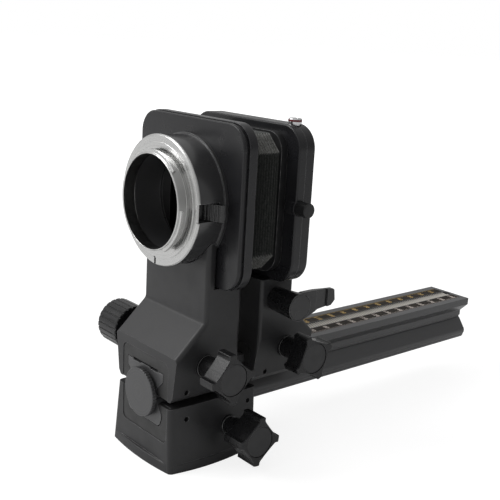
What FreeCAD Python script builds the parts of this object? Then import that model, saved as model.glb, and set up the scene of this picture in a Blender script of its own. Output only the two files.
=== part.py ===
"""Macro bellows unit: a tripod block, a rack rail, two standards with their clamps, and a bellows.

Millimetres, +Z up. The origin is the centre of the tripod socket on the block's underside.
+X is the clamp knobs' side and +Y runs along the rail, from the camera's side to the lens's side.
The light axis is parallel to Y. Each node is written to parts/NODE.step.
"""
import FreeCAD, Part
import math
import os

V = FreeCAD.Vector
X_AXIS, Y_AXIS, Z_AXIS = V(1, 0, 0), V(0, 1, 0), V(0, 0, 1)

# ---- fits and gaps ----
SLIDE_GAP = 0.06        # between the rail and the castings that slide on it
RUNNING_GAP = 0.05      # radial, between a shaft and its bore
SEAT_GAP = 0.02         # radial, between a bush and its seat
PART_LINE = 0.12        # between neighbouring faces that move past each other
RELIEF = 0.35           # round the rail, in the end plates

# ---- rail: an hourglass bar, wide at the top and at the bottom ----
RAIL_NEAR = -24.0
RAIL_LENGTH = 230.0
RAIL_FAR = RAIL_NEAR + RAIL_LENGTH
RAIL_TOP = 47.0
RAIL_HALF = 14.4
RAIL_HEIGHT = 26.2
PLATE_EDGE = 4.0        # height of the top plate's upright edge
WAIST_HALF = 9.4
WAIST_HEIGHT = 3.2
FLUTE_DEPTH = 0.7
FLUTE_HEIGHT = 1.8
LOBE_HALF = 14.0
LOBE_EDGE = 13.6        # half width where the lobe's rounding starts
LOBE_DROP = 19.8        # below the top, where that rounding starts
SHELF_DROP = PLATE_EDGE + RAIL_HALF - WAIST_HALF
RAIL_BOTTOM = RAIL_TOP - RAIL_HEIGHT
# The slanted face under the shelf, from the plate's edge inwards, and the lobe's flank.
UNDER_BASE = V(RAIL_HALF, 0, RAIL_TOP - PLATE_EDGE)
UNDER_ALONG = V(-1, 0, -1).normalize()
UNDER_NORMAL = V(1, 0, -1).normalize()
FLANK_BASE = V(WAIST_HALF, 0, RAIL_TOP - SHELF_DROP - WAIST_HEIGHT - FLUTE_HEIGHT)
FLANK_END = V(LOBE_EDGE, 0, RAIL_TOP - LOBE_DROP)

# ---- rack, cut on the slant, and the pinions that run on it ----
TOOTH_MODULE = 0.5
TOOTH_SLANT = math.radians(20.0)
PRESSURE_ANGLE = math.radians(20.0)
PINION_TEETH = 18
BACKLASH = 0.16
RACK_HALF = 3.0
RACK_HEIGHT = 4.0
RACK_RECESS = 0.2
RACK_START = RAIL_NEAR + 2.6
RACK_END = RAIL_FAR - 4.4
PINION_HALF = 2.8
END_MODULE = TOOTH_MODULE / math.cos(TOOTH_SLANT)
TOOTH_PITCH = math.pi * END_MODULE
FLANK_SLOPE = math.tan(PRESSURE_ANGLE) / math.cos(TOOTH_SLANT)
ADDENDUM = TOOTH_MODULE
DEDENDUM = 1.25 * TOOTH_MODULE
PINION_RADIUS = END_MODULE * PINION_TEETH / 2
RACK_TOP = RAIL_TOP - RACK_RECESS
DRIVE_Z = RACK_TOP - ADDENDUM + PINION_RADIUS

# ---- scale strips ----
STRIP_INNER = 3.7
STRIP_OUTER = 10.1
STRIP_THICK = 0.6
STRIP_END = 3.0

# ---- tripod block: its left side stands further out than its right ----
BLOCK_NEAR = -24.0
BLOCK_LENGTH = 52.0
BLOCK_FAR = BLOCK_NEAR + BLOCK_LENGTH
BLOCK_TOP = 31.5
TOP_SIDES = (-23.1, 20.2, 19.7)     # left side, then the right side's near and far corners
BASE_SIDES = (-26.7, 21.8, 20.8)
TOP_BOW = 1.0
BASE_BOW = 2.4
BOW_PEAK = -3.0         # where the sides stand out most, along Y
BLOCK_ROUND = 2.2
FOOT_HEIGHT = 4.5
FOOT_BULGE = 2.1
FOOT_ROUND = 4.0
BUSH_RADIUS = 5.0
BUSH_LENGTH = 9.0
BUSH_HOLE = 2.6
BUSH_LIP = 6.6
BUSH_LIP_THICK = 1.4
SHOE_HALF = 6.0
SHOE_HALF_LENGTH = 5.0
SHOE_BOTTOM = 11.8
BLOCK_RING_START = 20.6
BLOCK_RING_END = 23.6
BLOCK_RING_RADIUS = 4.6

# ---- end plates, the notch over the rack, gibs and their set screws ----
PLATE_HALF_BLOCK = 18.3
PLATE_HALF_BASE = 18.7
PLATE_THICK = 1.8
PLATE_SUNK = 0.25
PLATE_SEAT = 2.1
PLATE_CORNER = 3.0
PLATE_GAP = 0.15
BLOCK_PLATE_BOTTOM = 14.0
BASE_PLATE_TOP = 53.0
NOTCH_HALF = 10.2
NOTCH_HEIGHT = 0.8
GIB_THICK = 1.6
GIB_WIDTH = 4.6         # of the slanted gibs under the shelf
GIB_START = 1.2
GIB_SETBACK = 2.5
BLOCK_GIB_HALF = 2.0
BLOCK_GIB_ENDS = (5.0, 3.0)
BLOCK_SCREWS = (9.2, 5.4)       # set screws, from the block's near and far ends
CAMERA_SCREWS = (7.9, 32.0)     # set screws, from the casting's outer end
LENS_SCREWS = (4.1, 28.2)
STANDARD_SCREW_DROP = 7.7
SCREW_RADIUS = 1.25
HEXAGON = 0.75
HEXAGON_DEPTH = 1.2

# ---- standards ----
BASE_FACE = -24.2       # the camera standard's outer end
BASE_LENGTH = 35.8
BASE_HALF = 24.95
BASE_FOOT_HALF = 22.3
BASE_BOTTOM = 35.5
BASE_SHOULDER = 57.1
COLUMN_SETBACK = 15.3
COLUMN_SHOULDER = 71.6
STANDARD_GAP = 11.8     # between the two castings at rest
EDGE_ROUND = 2.0
DRIVE_SETBACK = 16.9    # from the outer end to the drive axis
MIRROR_Y = BASE_FACE + BASE_LENGTH + STANDARD_GAP / 2
CAMERA_DRIVE_Y = BASE_FACE + DRIVE_SETBACK
LENS_DRIVE_Y = 2 * MIRROR_Y - CAMERA_DRIVE_Y

# ---- heads ----
AXIS_Z = 124.4
HEAD_HALF = 39.3
HEAD_BOTTOM = 87.3
CAMERA_HEAD_TOP = 162.1
LENS_HEAD_TOP = 160.8
HEAD_CORNER = 11.0
CAMERA_HEAD_FACE = -3.5
HEAD_LIP = 1.3
HEAD_GROOVE = 1.8
HEAD_GROOVE_INSET = 1.0
CAMERA_HEAD_BACK = 4.4
LENS_HEAD_NEAR = 28.3
LENS_HEAD_SPLIT = 33.0
LENS_HEAD_FAR = 38.2
SADDLE_GAP = 0.15

# ---- camera mount ----
LIGHT_RADIUS = 21.4
BARREL_RADIUS = 22.0
BARREL_FRONT = -24.3
TAB_RADIUS = 23.4
MOUNT_PLANE = -19.4
FLANGE_RADIUS = 29.9
FLANGE_THICK = 1.3
DRUM_RADIUS = 29.4
DRUM_RING = 30.2
DRUM_RING_THICK = 1.5
CARRIER_RADIUS = 25.0
CARRIER_LIP = 27.4
MOUNT_SCREW_CIRCLE = 23.6
MOUNT_TABS = ((-62, 0), (44, 118), (165, 236))      # degrees, from +X towards +Z
LEVER_HALF = 3.65       # of the ribbed lever beside the drum
LEVER_MIDDLE_Z = 123.7
LEVER_BACK = -7.8
LEVER_NOTCH = 0.55      # the radius of the grooves between its ribs
LEVER_PITCH = 1.6
LEVER_ROOT = V(DRUM_RADIUS - 3.9, -13.6, 0)
LEVER_TIP = V(DRUM_RADIUS + 3.9, -9.6, 0)
TRUNNION_PLACE = (DRUM_RADIUS - 2.2, -9.7)
TRUNNION_RADIUS = 0.8
TRUNNION_HALF = LEVER_HALF + 1.8

# ---- lens mount ----
LENS_PLANE = 40.7
LENS_RING_RADIUS = DRUM_RADIUS + 0.2
THROAT_RADIUS = 22.0
LENS_TAB_RADIUS = 20.8
LENS_TABS = ((20, 80), (140, 196), (262, 320))
LENS_SCREW_CIRCLE = LENS_RING_RADIUS - 1.7

# ---- bellows ----
BELLOWS_HALF = 29.6
BELLOWS_HALF_HEIGHT = 31.4
BELLOWS_CHAMFER = 7.5
BELLOWS_NEAR = 5.0
BELLOWS_FAR = 24.6
BELLOWS_WALL = 4.6
FRAME_HALF = 31.5
FRAME_HALF_HEIGHT = 32.8
FRAME_CORNER = 9.0
WINDOW_HALF = 25.5
WINDOW_HALF_HEIGHT = 26.5
WINDOW_CORNER = 5.0

# ---- knobs ----
SHAFT_RADIUS = 3.0
DRIVE_KNOB_RADIUS = 11.5
DRIVE_KNOB_END = -52.0
DRIVE_KNOB_INNER = -35.5
DRIVE_GROOVES = 24
DRIVE_GROOVE_RADIUS = 0.5
DRIVE_KNOB_EDGE = 0.4   # chamfer round both ends
CLAMP_TIP = 11.8        # radius to a corner's flat end
CLAMP_EAR = 1.75        # half the width of a corner
CLAMP_ROOT = 10.0       # radius where a corner's sides end
CLAMP_SIDE = 8.1        # radius at the middle of a hollow side
CLAMP_RIM = 0.3         # chamfer round the face
CLAMP_CORNER_ROUND = 0.45
CLAMP_ROOT_ROUND = 1.8
CLAMP_FACE = 44.9
CLAMP_BACK = 35.8
CAP_RADIUS = 7.4
CAP_GAP = 0.12
CAP_SUNK = 0.25
CAP_THICK = 1.0
SLEEVE_RADIUS = 4.2
SHAFT_BUSH = 4.6
BUSH_START = RAIL_HALF + 0.6
CLAMP_HUB = 5.2
RING_RADIUS = 5.5
RING_THICK = 0.5
RING_SEAT = 1.4
BLOCK_CLAMP_Y = 9.5
BLOCK_CLAMP_Z = 17.2
BLOCK_CLAMP_FACE = 45.9
BLOCK_CLAMP_BACK = 33.9
BLOCK_HUB = 4.9
BLOCK_HUB_START = 26.2
BLOCK_NECK = 3.9
DISC_RADIUS = 11.8
DISC_THICK = 1.9
DISC_GAP = 1.5          # between the rail's end and the disc
DISC_DROP = 12.8        # its centre below the rail's top
DISC_RIBS = 48
DISC_GROOVE = 0.4
COLLAR_RADIUS = 5.0
STUD_LENGTH = 11.5
STUD_RADIUS = 2.5
PLUG_RADIUS = 4.0
PLUG_LENGTH = 7.7

# ---- head lock lever ----
LOCK_Y = 32.7
LOCK_Z = 77.3
LOCK_FACE = 42.0
LOCK_WING = 2.4         # the wing's thickness
LOCK_HUB = 6.7
LOCK_ROOT = 5.6         # the barrel's radius at the casting
LOCK_REACH = 23.2
LOCK_SCOOP = (10.6, 18.2)   # the finger scoop along the wing
LOCK_SCOOP_DEPTH = (0.15, 0.8)
LOCK_PIVOT = 2.5

# ---- release button, lock pin, cable socket, aperture lever ----
BUTTON_Y = 30.7
BUTTON_Z = 123.8
BUTTON_END = 45.6
BUTTON_RADIUS = 3.4
BUTTON_STROKE = 2.0
HOUSING_RADIUS = 3.7
HOUSING_START = 32.6
ROD_RADIUS = 1.5
ROD_END = 28.8
PIN_X = 26.3
PIN_RADIUS = 1.1
PIN_PROUD = 1.1
PIN_STROKE = 1.2
SOCKET_X = 29.1
SOCKET_Y = 33.8
SOCKET_RADIUS = 3.1
SOCKET_HEIGHT = 2.6
SOCKET_HOLE = 1.5
SOCKET_DEPTH = 6.0
PLUNGER_RADIUS = 1.2
PLUNGER_STROKE = 5.0
LEVER_SPACE = 2.0
LEVER_THICK = 1.6
LEVER_PLANE = LENS_HEAD_SPLIT + (LEVER_SPACE - LEVER_THICK) / 2
LEVER_INNER = 25.6
LEVER_OUTER = 27.8

parts = {}


# ---------------------------------------------------------------- helpers
def box(x0, x1, y0, y1, z0, z1):
    """A block between two corners."""
    return Part.makeBox(x1 - x0, y1 - y0, z1 - z0, V(x0, y0, z0))


def rod_x(x0, x1, y, z, radius):
    """A cylinder along X."""
    return Part.makeCylinder(radius, x1 - x0, V(x0, y, z), X_AXIS)


def rod_y(y0, y1, radius, x=0.0, z=AXIS_Z):
    """A cylinder along Y, on the light axis unless a place is given."""
    return Part.makeCylinder(radius, y1 - y0, V(x, y0, z), Y_AXIS)


def rod_z(z0, z1, x, y, radius):
    """A cylinder along Z."""
    return Part.makeCylinder(radius, z1 - z0, V(x, y, z0), Z_AXIS)


def prism(points, direction):
    """A straight-sided outline pushed along a direction."""
    return Part.Face(Part.makePolygon(points + [points[0]])).extrude(direction)


def prism_y(outline, y0, y1):
    """An outline of (x, z) points, pushed from y0 to y1."""
    return prism([V(x, y0, z) for x, z in outline], V(0, y1 - y0, 0))


def prism_x(outline, x0, x1):
    """An outline of (y, z) points, pushed from x0 to x1."""
    return prism([V(x0, y, z) for y, z in outline], V(x1 - x0, 0, 0))


def plate_y(half, z0, z1, radius, y0, y1):
    """A plate square to Y with four round corners, centred on X = 0."""
    solid = box(-half, half, y0, y1, z0, z1)
    upright = [e for e in solid.Edges if abs(e.tangentAt(e.FirstParameter).y) > 0.9]
    return solid.makeFillet(radius, upright)


def edges_along(solid, axis, test):
    """The straight edges of a solid that run along an axis and pass a test of their middle."""
    found = []
    for edge in solid.Edges:
        if not isinstance(edge.Curve, Part.Line):
            continue
        if abs(edge.tangentAt(edge.FirstParameter).dot(axis)) > 0.999 and test(edge.CenterOfMass):
            found.append(edge)
    return found


def circles_at(solid, axis, radius, test):
    """The round edges of a solid with one radius, about one axis, that pass a test of their centre."""
    found = []
    for edge in solid.Edges:
        curve = edge.Curve
        if isinstance(curve, Part.Circle) and abs(curve.Radius - radius) < 0.001:
            if abs(curve.Axis.dot(axis)) > 0.999 and test(curve.Center):
                found.append(edge)
    return found


def mirrored(shape):
    """The same piece on the lens standard."""
    return shape.mirror(V(0, MIRROR_Y, 0), Y_AXIS)


def turned(shape, degrees, y=0.0, z=0.0):
    """A copy turned about an axis along X."""
    copy = shape.copy()
    copy.rotate(V(0, y, z), X_AXIS, degrees)
    return copy


def keep(name, *solids):
    """Stores a node: one solid, or a group of separate ones."""
    whole = [s for shape in solids for s in shape.Solids]
    parts[name] = whole[0] if len(whole) == 1 else Part.makeCompound(whole)


# ---------------------------------------------------------------- rail
def rail_section(grow=0.0):
    """The rail's outline in X and Z, grown outwards by a gap."""
    def at(x, drop):
        return V(x, 0, RAIL_TOP - drop)

    shelf = SHELF_DROP
    waist = shelf + WAIST_HEIGHT
    flute = waist + FLUTE_HEIGHT
    right = [at(RAIL_HALF, 0), at(RAIL_HALF, PLATE_EDGE), at(WAIST_HALF, shelf), at(WAIST_HALF, waist),
             at(WAIST_HALF - FLUTE_DEPTH, waist + 0.5), at(WAIST_HALF - FLUTE_DEPTH, flute - 0.5),
             at(WAIST_HALF, flute), at(LOBE_EDGE, LOBE_DROP)]
    lobe_end = at(LOBE_EDGE - 0.3, RAIL_HEIGHT - 2.8)
    foot = at(LOBE_EDGE - 2.8, RAIL_HEIGHT)
    edges = [Part.LineSegment(a, b).toShape() for a, b in zip(right, right[1:])]
    edges.append(Part.Arc(right[-1], at(LOBE_HALF, LOBE_DROP + 1.8), lobe_end).toShape())
    edges.append(Part.Arc(lobe_end, at(LOBE_EDGE - 1.1, RAIL_HEIGHT - 0.8), foot).toShape())
    half = Part.Wire(edges)
    other = half.mirror(V(0, 0, 0), X_AXIS)
    top = Part.LineSegment(V(-RAIL_HALF, 0, RAIL_TOP), right[0]).toShape()
    bottom = Part.LineSegment(V(-foot.x, 0, foot.z), foot).toShape()
    wire = Part.Wire(Part.__sortEdges__(half.Edges + other.Edges + [top, bottom]))
    return wire.makeOffset2D(grow, join=2) if grow else wire


def rail_bar(y0, y1, grow=0.0):
    """A length of the rail's section."""
    bar = Part.Face(rail_section(grow)).extrude(V(0, y1 - y0, 0))
    bar.translate(V(0, y0, 0))
    return bar


def slot_end_x(half, y0, y1, z0, z1):
    """A long pocket with half-round ends."""
    middle = box(-half, half, y0 + half, y1 - half, z0, z1)
    ends = [rod_z(z0, z1, 0, y, half) for y in (y0 + half, y1 - half)]
    return middle.fuse(ends[0]).fuse(ends[1])


def make_rail():
    rack_seat = box(-RACK_HALF, RACK_HALF, RACK_START, RACK_END, RAIL_TOP - RACK_HEIGHT, RAIL_TOP)
    round_slot = slot_end_x(RACK_HALF + 0.4, RACK_START - 1.6, RACK_END + 3.0, RAIL_TOP - 1.4, RAIL_TOP + 1)
    beam = rail_bar(RAIL_NEAR, RAIL_FAR).cut(rack_seat).cut(round_slot)
    for side in (-1, 1):
        x0, x1 = sorted((side * STRIP_INNER, side * STRIP_OUTER))
        strip = box(x0, x1, RAIL_NEAR + STRIP_END, RAIL_FAR - STRIP_END, RAIL_TOP - STRIP_THICK, RAIL_TOP)
        # The bed runs out of the rail's near end, where the strip is slid in.
        bed = box(x0, x1, RAIL_NEAR - 1, RAIL_FAR - STRIP_END, RAIL_TOP - STRIP_THICK, RAIL_TOP + 1)
        beam = beam.cut(bed)
        keep("scale_strip_right" if side > 0 else "scale_strip_left", strip)
    disc_z = RAIL_TOP - DISC_DROP
    beam = beam.cut(rod_y(RAIL_NEAR - 1, RAIL_NEAR + STUD_LENGTH + 0.5, STUD_RADIUS + RUNNING_GAP, z=disc_z))
    plug_start, plug_end = RAIL_FAR - 0.3 - PLUG_LENGTH, RAIL_FAR - 0.3
    beam = beam.cut(rod_y(plug_start, RAIL_FAR + 1, PLUG_RADIUS + SEAT_GAP, z=disc_z))
    keep("rail_beam", beam)
    plug = rod_y(plug_start, plug_end, PLUG_RADIUS, z=disc_z)
    slot = box(-PLUG_RADIUS, PLUG_RADIUS, plug_end - 1.3, plug_end + 1, disc_z - 0.5, disc_z + 0.5)
    keep("rail_end_plug", plug.cut(slot))


def make_end_disc():
    """The knurled disc that turns on a stud in the rail's near end."""
    z = RAIL_TOP - DISC_DROP
    y1 = RAIL_NEAR - DISC_GAP
    y0 = y1 - DISC_THICK
    disc = rod_y(y0, y1, DISC_RADIUS, z=z)
    disc = disc.makeFillet(0.5, circles_at(disc, Y_AXIS, DISC_RADIUS, lambda c: c.y < y0 + 0.1))
    reach = DISC_RADIUS + DISC_GROOVE / 3
    for k in range(DISC_RIBS):
        angle = 2 * math.pi * k / DISC_RIBS
        x, groove_z = reach * math.cos(angle), z + reach * math.sin(angle)
        disc = disc.cut(rod_y(y0 - 1, y1 + 1, DISC_GROOVE, x, groove_z))
    collar = rod_y(y1, RAIL_NEAR - 0.05, COLLAR_RADIUS, z=z)
    stud = rod_y(y1, RAIL_NEAR + STUD_LENGTH, STUD_RADIUS, z=z)
    keep("rail_end_disc", disc.fuse(collar).fuse(stud).removeSplitter())


def tooth_run(y0, y1):
    """The rack's side outline in Y and Z: a bar with trapezoid teeth on top."""
    half_top = TOOTH_PITCH / 4 - BACKLASH / 4 - ADDENDUM * FLANK_SLOPE
    half_root = TOOTH_PITCH / 4 + BACKLASH / 4 - DEDENDUM * FLANK_SLOPE
    root = RACK_TOP - ADDENDUM - DEDENDUM
    first = math.floor(y0 / TOOTH_PITCH)
    last = math.ceil(y1 / TOOTH_PITCH)
    top_line = []
    for k in range(first, last + 1):
        middle = k * TOOTH_PITCH
        space = middle - TOOTH_PITCH / 2
        top_line += [(space - half_root, root), (space + half_root, root)]
        top_line += [(middle - half_top, RACK_TOP), (middle + half_top, RACK_TOP)]
    floor = RAIL_TOP - RACK_HEIGHT
    return [(top_line[0][0], floor)] + top_line + [(top_line[-1][0], floor)]


def make_rack():
    lean = math.tan(TOOTH_SLANT) * RACK_HALF
    outline = [V(-RACK_HALF, y + lean, z) for y, z in tooth_run(RACK_START - 3, RACK_END + 3)]
    comb = prism(outline, V(2 * RACK_HALF, -2 * lean, 0))
    keep("rail_rack", comb.common(box(-5, 5, RACK_START, RACK_END, 0, RAIL_TOP + 5)))


def flank_angle(radius):
    """How far an involute tooth's flank has turned at a radius, from its start on the base circle."""
    base = PINION_RADIUS * math.cos(math.atan(FLANK_SLOPE))
    pressure = math.acos(min(1.0, base / radius))
    return math.tan(pressure) - pressure


def pinion_outline(x, turn):
    """The pinion's outline square to X, centred on the shaft, turned by an angle."""
    base = PINION_RADIUS * math.cos(math.atan(FLANK_SLOPE))
    root = PINION_RADIUS - DEDENDUM
    tip = PINION_RADIUS + ADDENDUM
    tooth_angle = 2 * math.pi / PINION_TEETH
    half_pitch = tooth_angle / 4 - BACKLASH / 4 / PINION_RADIUS
    half_base = half_pitch + flank_angle(PINION_RADIUS)
    radii = [base, PINION_RADIUS, PINION_RADIUS + ADDENDUM / 2, tip]
    side = [(root, half_base)] + [(r, half_base - flank_angle(r)) for r in radii]
    points = []
    for k in range(PINION_TEETH):
        middle = -math.pi / 2 + turn + k * tooth_angle
        for radius, offset in [(r, -a) for r, a in side] + side[::-1]:
            angle = middle + offset
            points.append(V(x, radius * math.cos(angle), radius * math.sin(angle)))
    return Part.makePolygon(points + [points[0]])


def pinion_gear(y):
    """A slanted pinion in mesh with the rack, on the drive axis at y."""
    slots = (y / TOOTH_PITCH - 0.5) % 1.0
    mesh_turn = -slots * TOOTH_PITCH / PINION_RADIUS
    steps = 3
    sections = []
    for k in range(steps + 1):
        x = -PINION_HALF + 2 * PINION_HALF * k / steps
        twist = -math.tan(TOOTH_SLANT) * x / PINION_RADIUS
        sections.append(pinion_outline(x, mesh_turn + twist))
    gear = Part.makeLoft(sections, True, True)
    gear.translate(V(0, y, DRIVE_Z))
    return gear


# ---------------------------------------------------------------- tripod block
def bowed_outline(sides, bow, near, far, end_bow, z):
    """A closed plan outline: four corners, with the sides and the ends bowed outwards."""
    left, right_near, right_far = sides
    middle = (left + right_near) / 2
    corners = [V(right_far, far, z), V(left, far, z), V(left, near, z), V(right_near, near, z)]
    tops = [V(middle, far + end_bow, z), V(left - bow, (near + far) / 2, z), V(middle, near - end_bow, z),
            V(right_near + bow, BOW_PEAK, z)]
    edges = []
    for k in range(4):
        a, b = corners[k], corners[(k + 1) % 4]
        straight = (end_bow if k % 2 == 0 else bow) == 0
        edges.append((Part.LineSegment(a, b) if straight else Part.Arc(a, tops[k], b)).toShape())
    return Part.Wire(edges)


def block_solid():
    """The block's outside: a flared body on a foot that bulges at both ends."""
    low = bowed_outline(BASE_SIDES, BASE_BOW, BLOCK_NEAR, BLOCK_FAR, 0, 0)
    high = bowed_outline(TOP_SIDES, TOP_BOW, BLOCK_NEAR, BLOCK_FAR, 0, BLOCK_TOP)
    body = Part.makeLoft([low, high], True, True)
    body = body.makeFillet(BLOCK_ROUND, [e for e in body.Edges if e.BoundBox.ZLength > BLOCK_TOP / 2])
    near, far = BLOCK_NEAR + 0.3, BLOCK_FAR - 0.3
    sole = bowed_outline(BASE_SIDES, BASE_BOW + 0.2, near, far, FOOT_BULGE, 0)
    rim = bowed_outline(BASE_SIDES, BASE_BOW, near, far, FOOT_BULGE - 0.4, FOOT_HEIGHT)
    foot = Part.makeLoft([sole, rim], True, True)
    foot = foot.makeFillet(FOOT_ROUND, [e for e in foot.Edges if e.BoundBox.ZLength > FOOT_HEIGHT / 2])
    lip = [e for e in foot.Edges if e.CenterOfMass.z > FOOT_HEIGHT - 0.01 and e.BoundBox.ZLength < 0.01]
    return body.fuse(foot.makeFillet(0.8, lip)).removeSplitter()


def end_recess(half, z0, z1, radius, open_side, face, depth, out):
    """The pocket for an end plate: round at two corners and open at the side next to the other casting."""
    y0, y1 = sorted((face, face - out * depth))
    if open_side > 0:
        return plate_y(half, z0, z1 + 2 * radius, radius, y0, y1)
    return plate_y(half, z0 - 2 * radius, z1, radius, y0, y1)


def shelf_gib(y0, y1, grow=0.0, length=GIB_WIDTH, start=GIB_START):
    """A gib on the slanted face under the rail's right-hand shelf, or with grow the seat cut for it."""
    along, normal = UNDER_ALONG, UNDER_NORMAL
    a = UNDER_BASE + along * start + normal * SLIDE_GAP
    b = a + along * length
    thick = normal * GIB_THICK
    points = [a, b, b + thick, a + thick]
    if grow:
        points = [a - along * grow - normal * SLIDE_GAP, b + along * grow - normal * SLIDE_GAP,
                  b + thick + (along + normal) * grow, a + thick - (along - normal) * grow]
    return prism_y([(p.x, p.z) for p in points], y0, y1)


def side_screws(x_out, x_in, z, places):
    """Set screws from the right-hand side, each with a hexagon socket."""
    screws = []
    for y in places:
        screw = rod_x(x_in, x_out, y, z, SCREW_RADIUS)
        angles = [math.radians(60 * k) for k in range(6)]
        corners = [(y + HEXAGON * math.cos(a), z + HEXAGON * math.sin(a)) for a in angles]
        screws.append(screw.cut(prism_x(corners, x_out - HEXAGON_DEPTH, x_out + 1)))
    return screws


def make_block():
    before, past = BLOCK_NEAR - 5, BLOCK_FAR + 5
    solid = block_solid().cut(rail_bar(before, past, SLIDE_GAP))
    # The slot above the channel is as wide as the flank at the block's top.
    run = FLANK_END - FLANK_BASE
    reach = FLANK_BASE.x + (BLOCK_TOP - FLANK_BASE.z) * run.x / run.z
    solid = solid.cut(box(-reach, reach, before, past, BLOCK_TOP - 0.4, BLOCK_TOP + 5))
    plates = []
    for face, out in ((BLOCK_NEAR, -1), (BLOCK_FAR, 1)):
        recess = end_recess(PLATE_HALF_BLOCK, BLOCK_PLATE_BOTTOM, BLOCK_TOP, PLATE_CORNER, 1, face + out,
                            PLATE_SEAT + 1, out)
        solid = solid.cut(recess)
        plate = end_recess(PLATE_HALF_BLOCK - PLATE_GAP, BLOCK_PLATE_BOTTOM + PLATE_GAP, BLOCK_TOP,
                           PLATE_CORNER, 1, face - out * PLATE_SUNK, PLATE_THICK, out)
        plate = plate.common(box(-30, 30, before, past, 0, BLOCK_TOP - 0.1))
        plate = plate.cut(rail_bar(before, past, RELIEF))
        plate = plate.cut(box(-reach - RELIEF, reach + RELIEF, before, past, BLOCK_TOP - 1.5, BLOCK_TOP + 5))
        plates.append(plate)
    keep("block_end_plates", *plates)
    # Tripod bush, clamp bore and shoe pocket.
    bush = rod_z(0, BUSH_LENGTH, 0, 0, BUSH_RADIUS).fuse(rod_z(0, BUSH_LIP_THICK, 0, 0, BUSH_LIP))
    bush = bush.cut(rod_z(-1, BUSH_LENGTH + 1, 0, 0, BUSH_HOLE)).removeSplitter()
    keep("tripod_bush", bush)
    solid = solid.cut(rod_z(-1, BUSH_LENGTH, 0, 0, BUSH_RADIUS + SEAT_GAP))
    solid = solid.cut(rod_z(-1, BUSH_LIP_THICK, 0, 0, BUSH_LIP + SEAT_GAP))
    solid = solid.cut(rod_x(SHOE_HALF - 1, 40, BLOCK_CLAMP_Y, BLOCK_CLAMP_Z, SHAFT_RADIUS + RUNNING_GAP))
    y0, y1 = BLOCK_CLAMP_Y - SHOE_HALF_LENGTH, BLOCK_CLAMP_Y + SHOE_HALF_LENGTH
    solid = solid.cut(box(-SHOE_HALF - 0.1, SHOE_HALF + 0.1, y0 - 0.1, y1 + 0.1,
                          SHOE_BOTTOM - 0.8, RAIL_BOTTOM + 0.5))
    shoe = box(-SHOE_HALF, SHOE_HALF, y0, y1, SHOE_BOTTOM, RAIL_BOTTOM - SLIDE_GAP)
    notch = [(7.0, 2.75), (5.0, 2.75), (3.0, 1.1), (3.0, -1.1), (5.0, -2.75), (7.0, -2.75)]
    keep("block_clamp_shoe", shoe.cut(prism_y([(x, BLOCK_CLAMP_Z + z) for x, z in notch], y0 - 1, y1 + 1)))
    # A gib beside the rail's lobe, with two set screws behind it.
    lobe_z = RAIL_TOP - LOBE_DROP - 1.8
    gib_x = LOBE_HALF + SLIDE_GAP
    gib_back = gib_x + GIB_THICK
    y0, y1 = BLOCK_NEAR + BLOCK_GIB_ENDS[0], BLOCK_FAR - BLOCK_GIB_ENDS[1]
    low, high = lobe_z - BLOCK_GIB_HALF, lobe_z + BLOCK_GIB_HALF
    solid = solid.cut(box(gib_x - 1, gib_back + 0.1, y0 - 0.1, y1 + 0.1, low - 0.1, high + 0.1))
    keep("block_gib", box(gib_x, gib_back, y0, y1, low, high))
    places = (BLOCK_NEAR + BLOCK_SCREWS[0], BLOCK_FAR - BLOCK_SCREWS[1])
    for y in places:
        solid = solid.cut(rod_x(gib_back, 30, y, lobe_z, SCREW_RADIUS + SEAT_GAP))
    keep("block_gib_screws", *side_screws(gib_back + 3.8, gib_back + 0.05, lobe_z, places))
    ring = rod_x(BLOCK_RING_START, BLOCK_RING_END, BLOCK_CLAMP_Y, BLOCK_CLAMP_Z, BLOCK_RING_RADIUS)
    front = circles_at(ring, X_AXIS, BLOCK_RING_RADIUS, lambda c: c.x > BLOCK_RING_END - 0.1)
    ring = ring.makeFillet(0.5, front)
    ring_seat = BLOCK_RING_RADIUS + SEAT_GAP
    solid = solid.cut(rod_x(BLOCK_RING_START, 30, BLOCK_CLAMP_Y, BLOCK_CLAMP_Z, ring_seat))
    keep("block_clamp_ring", ring.cut(rod_x(0, 30, BLOCK_CLAMP_Y, BLOCK_CLAMP_Z, SHAFT_RADIUS + 0.3)))
    keep("block_body", solid)


# ---------------------------------------------------------------- clamps and knobs
def star_prism(x0, x1):
    """A clamp knob's body about X: four corners with flat ends, and a hollow side between each two."""
    def at(angle, radius, across=0.0):
        c, s = math.cos(angle), math.sin(angle)
        return V(x0, radius * c - across * s, radius * s + across * c)

    edges = []
    for k in range(4):
        middle, following = k * math.pi / 2, (k + 1) * math.pi / 2
        root, corner = at(middle, CLAMP_ROOT, -CLAMP_EAR), at(middle, CLAMP_TIP, -CLAMP_EAR)
        end, far_root = at(middle, CLAMP_TIP, CLAMP_EAR), at(middle, CLAMP_ROOT, CLAMP_EAR)
        next_root = at(following, CLAMP_ROOT, -CLAMP_EAR)
        edges.append(Part.LineSegment(root, corner).toShape())
        edges.append(Part.Arc(corner, at(middle, CLAMP_TIP + 0.15), end).toShape())
        edges.append(Part.LineSegment(end, far_root).toShape())
        edges.append(Part.Arc(far_root, at(middle + math.pi / 4, CLAMP_SIDE), next_root).toShape())
    body = Part.Face(Part.Wire(edges)).extrude(V(x1 - x0, 0, 0))
    for place, radius in ((CLAMP_TIP, CLAMP_CORNER_ROUND), (CLAMP_ROOT, CLAMP_ROOT_ROUND)):
        reach = math.hypot(place, CLAMP_EAR)
        picked = edges_along(body, X_AXIS, lambda c: abs(math.hypot(c.y, c.z) - reach) < 0.05)
        body = body.makeFillet(radius, picked)
    return body


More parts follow.
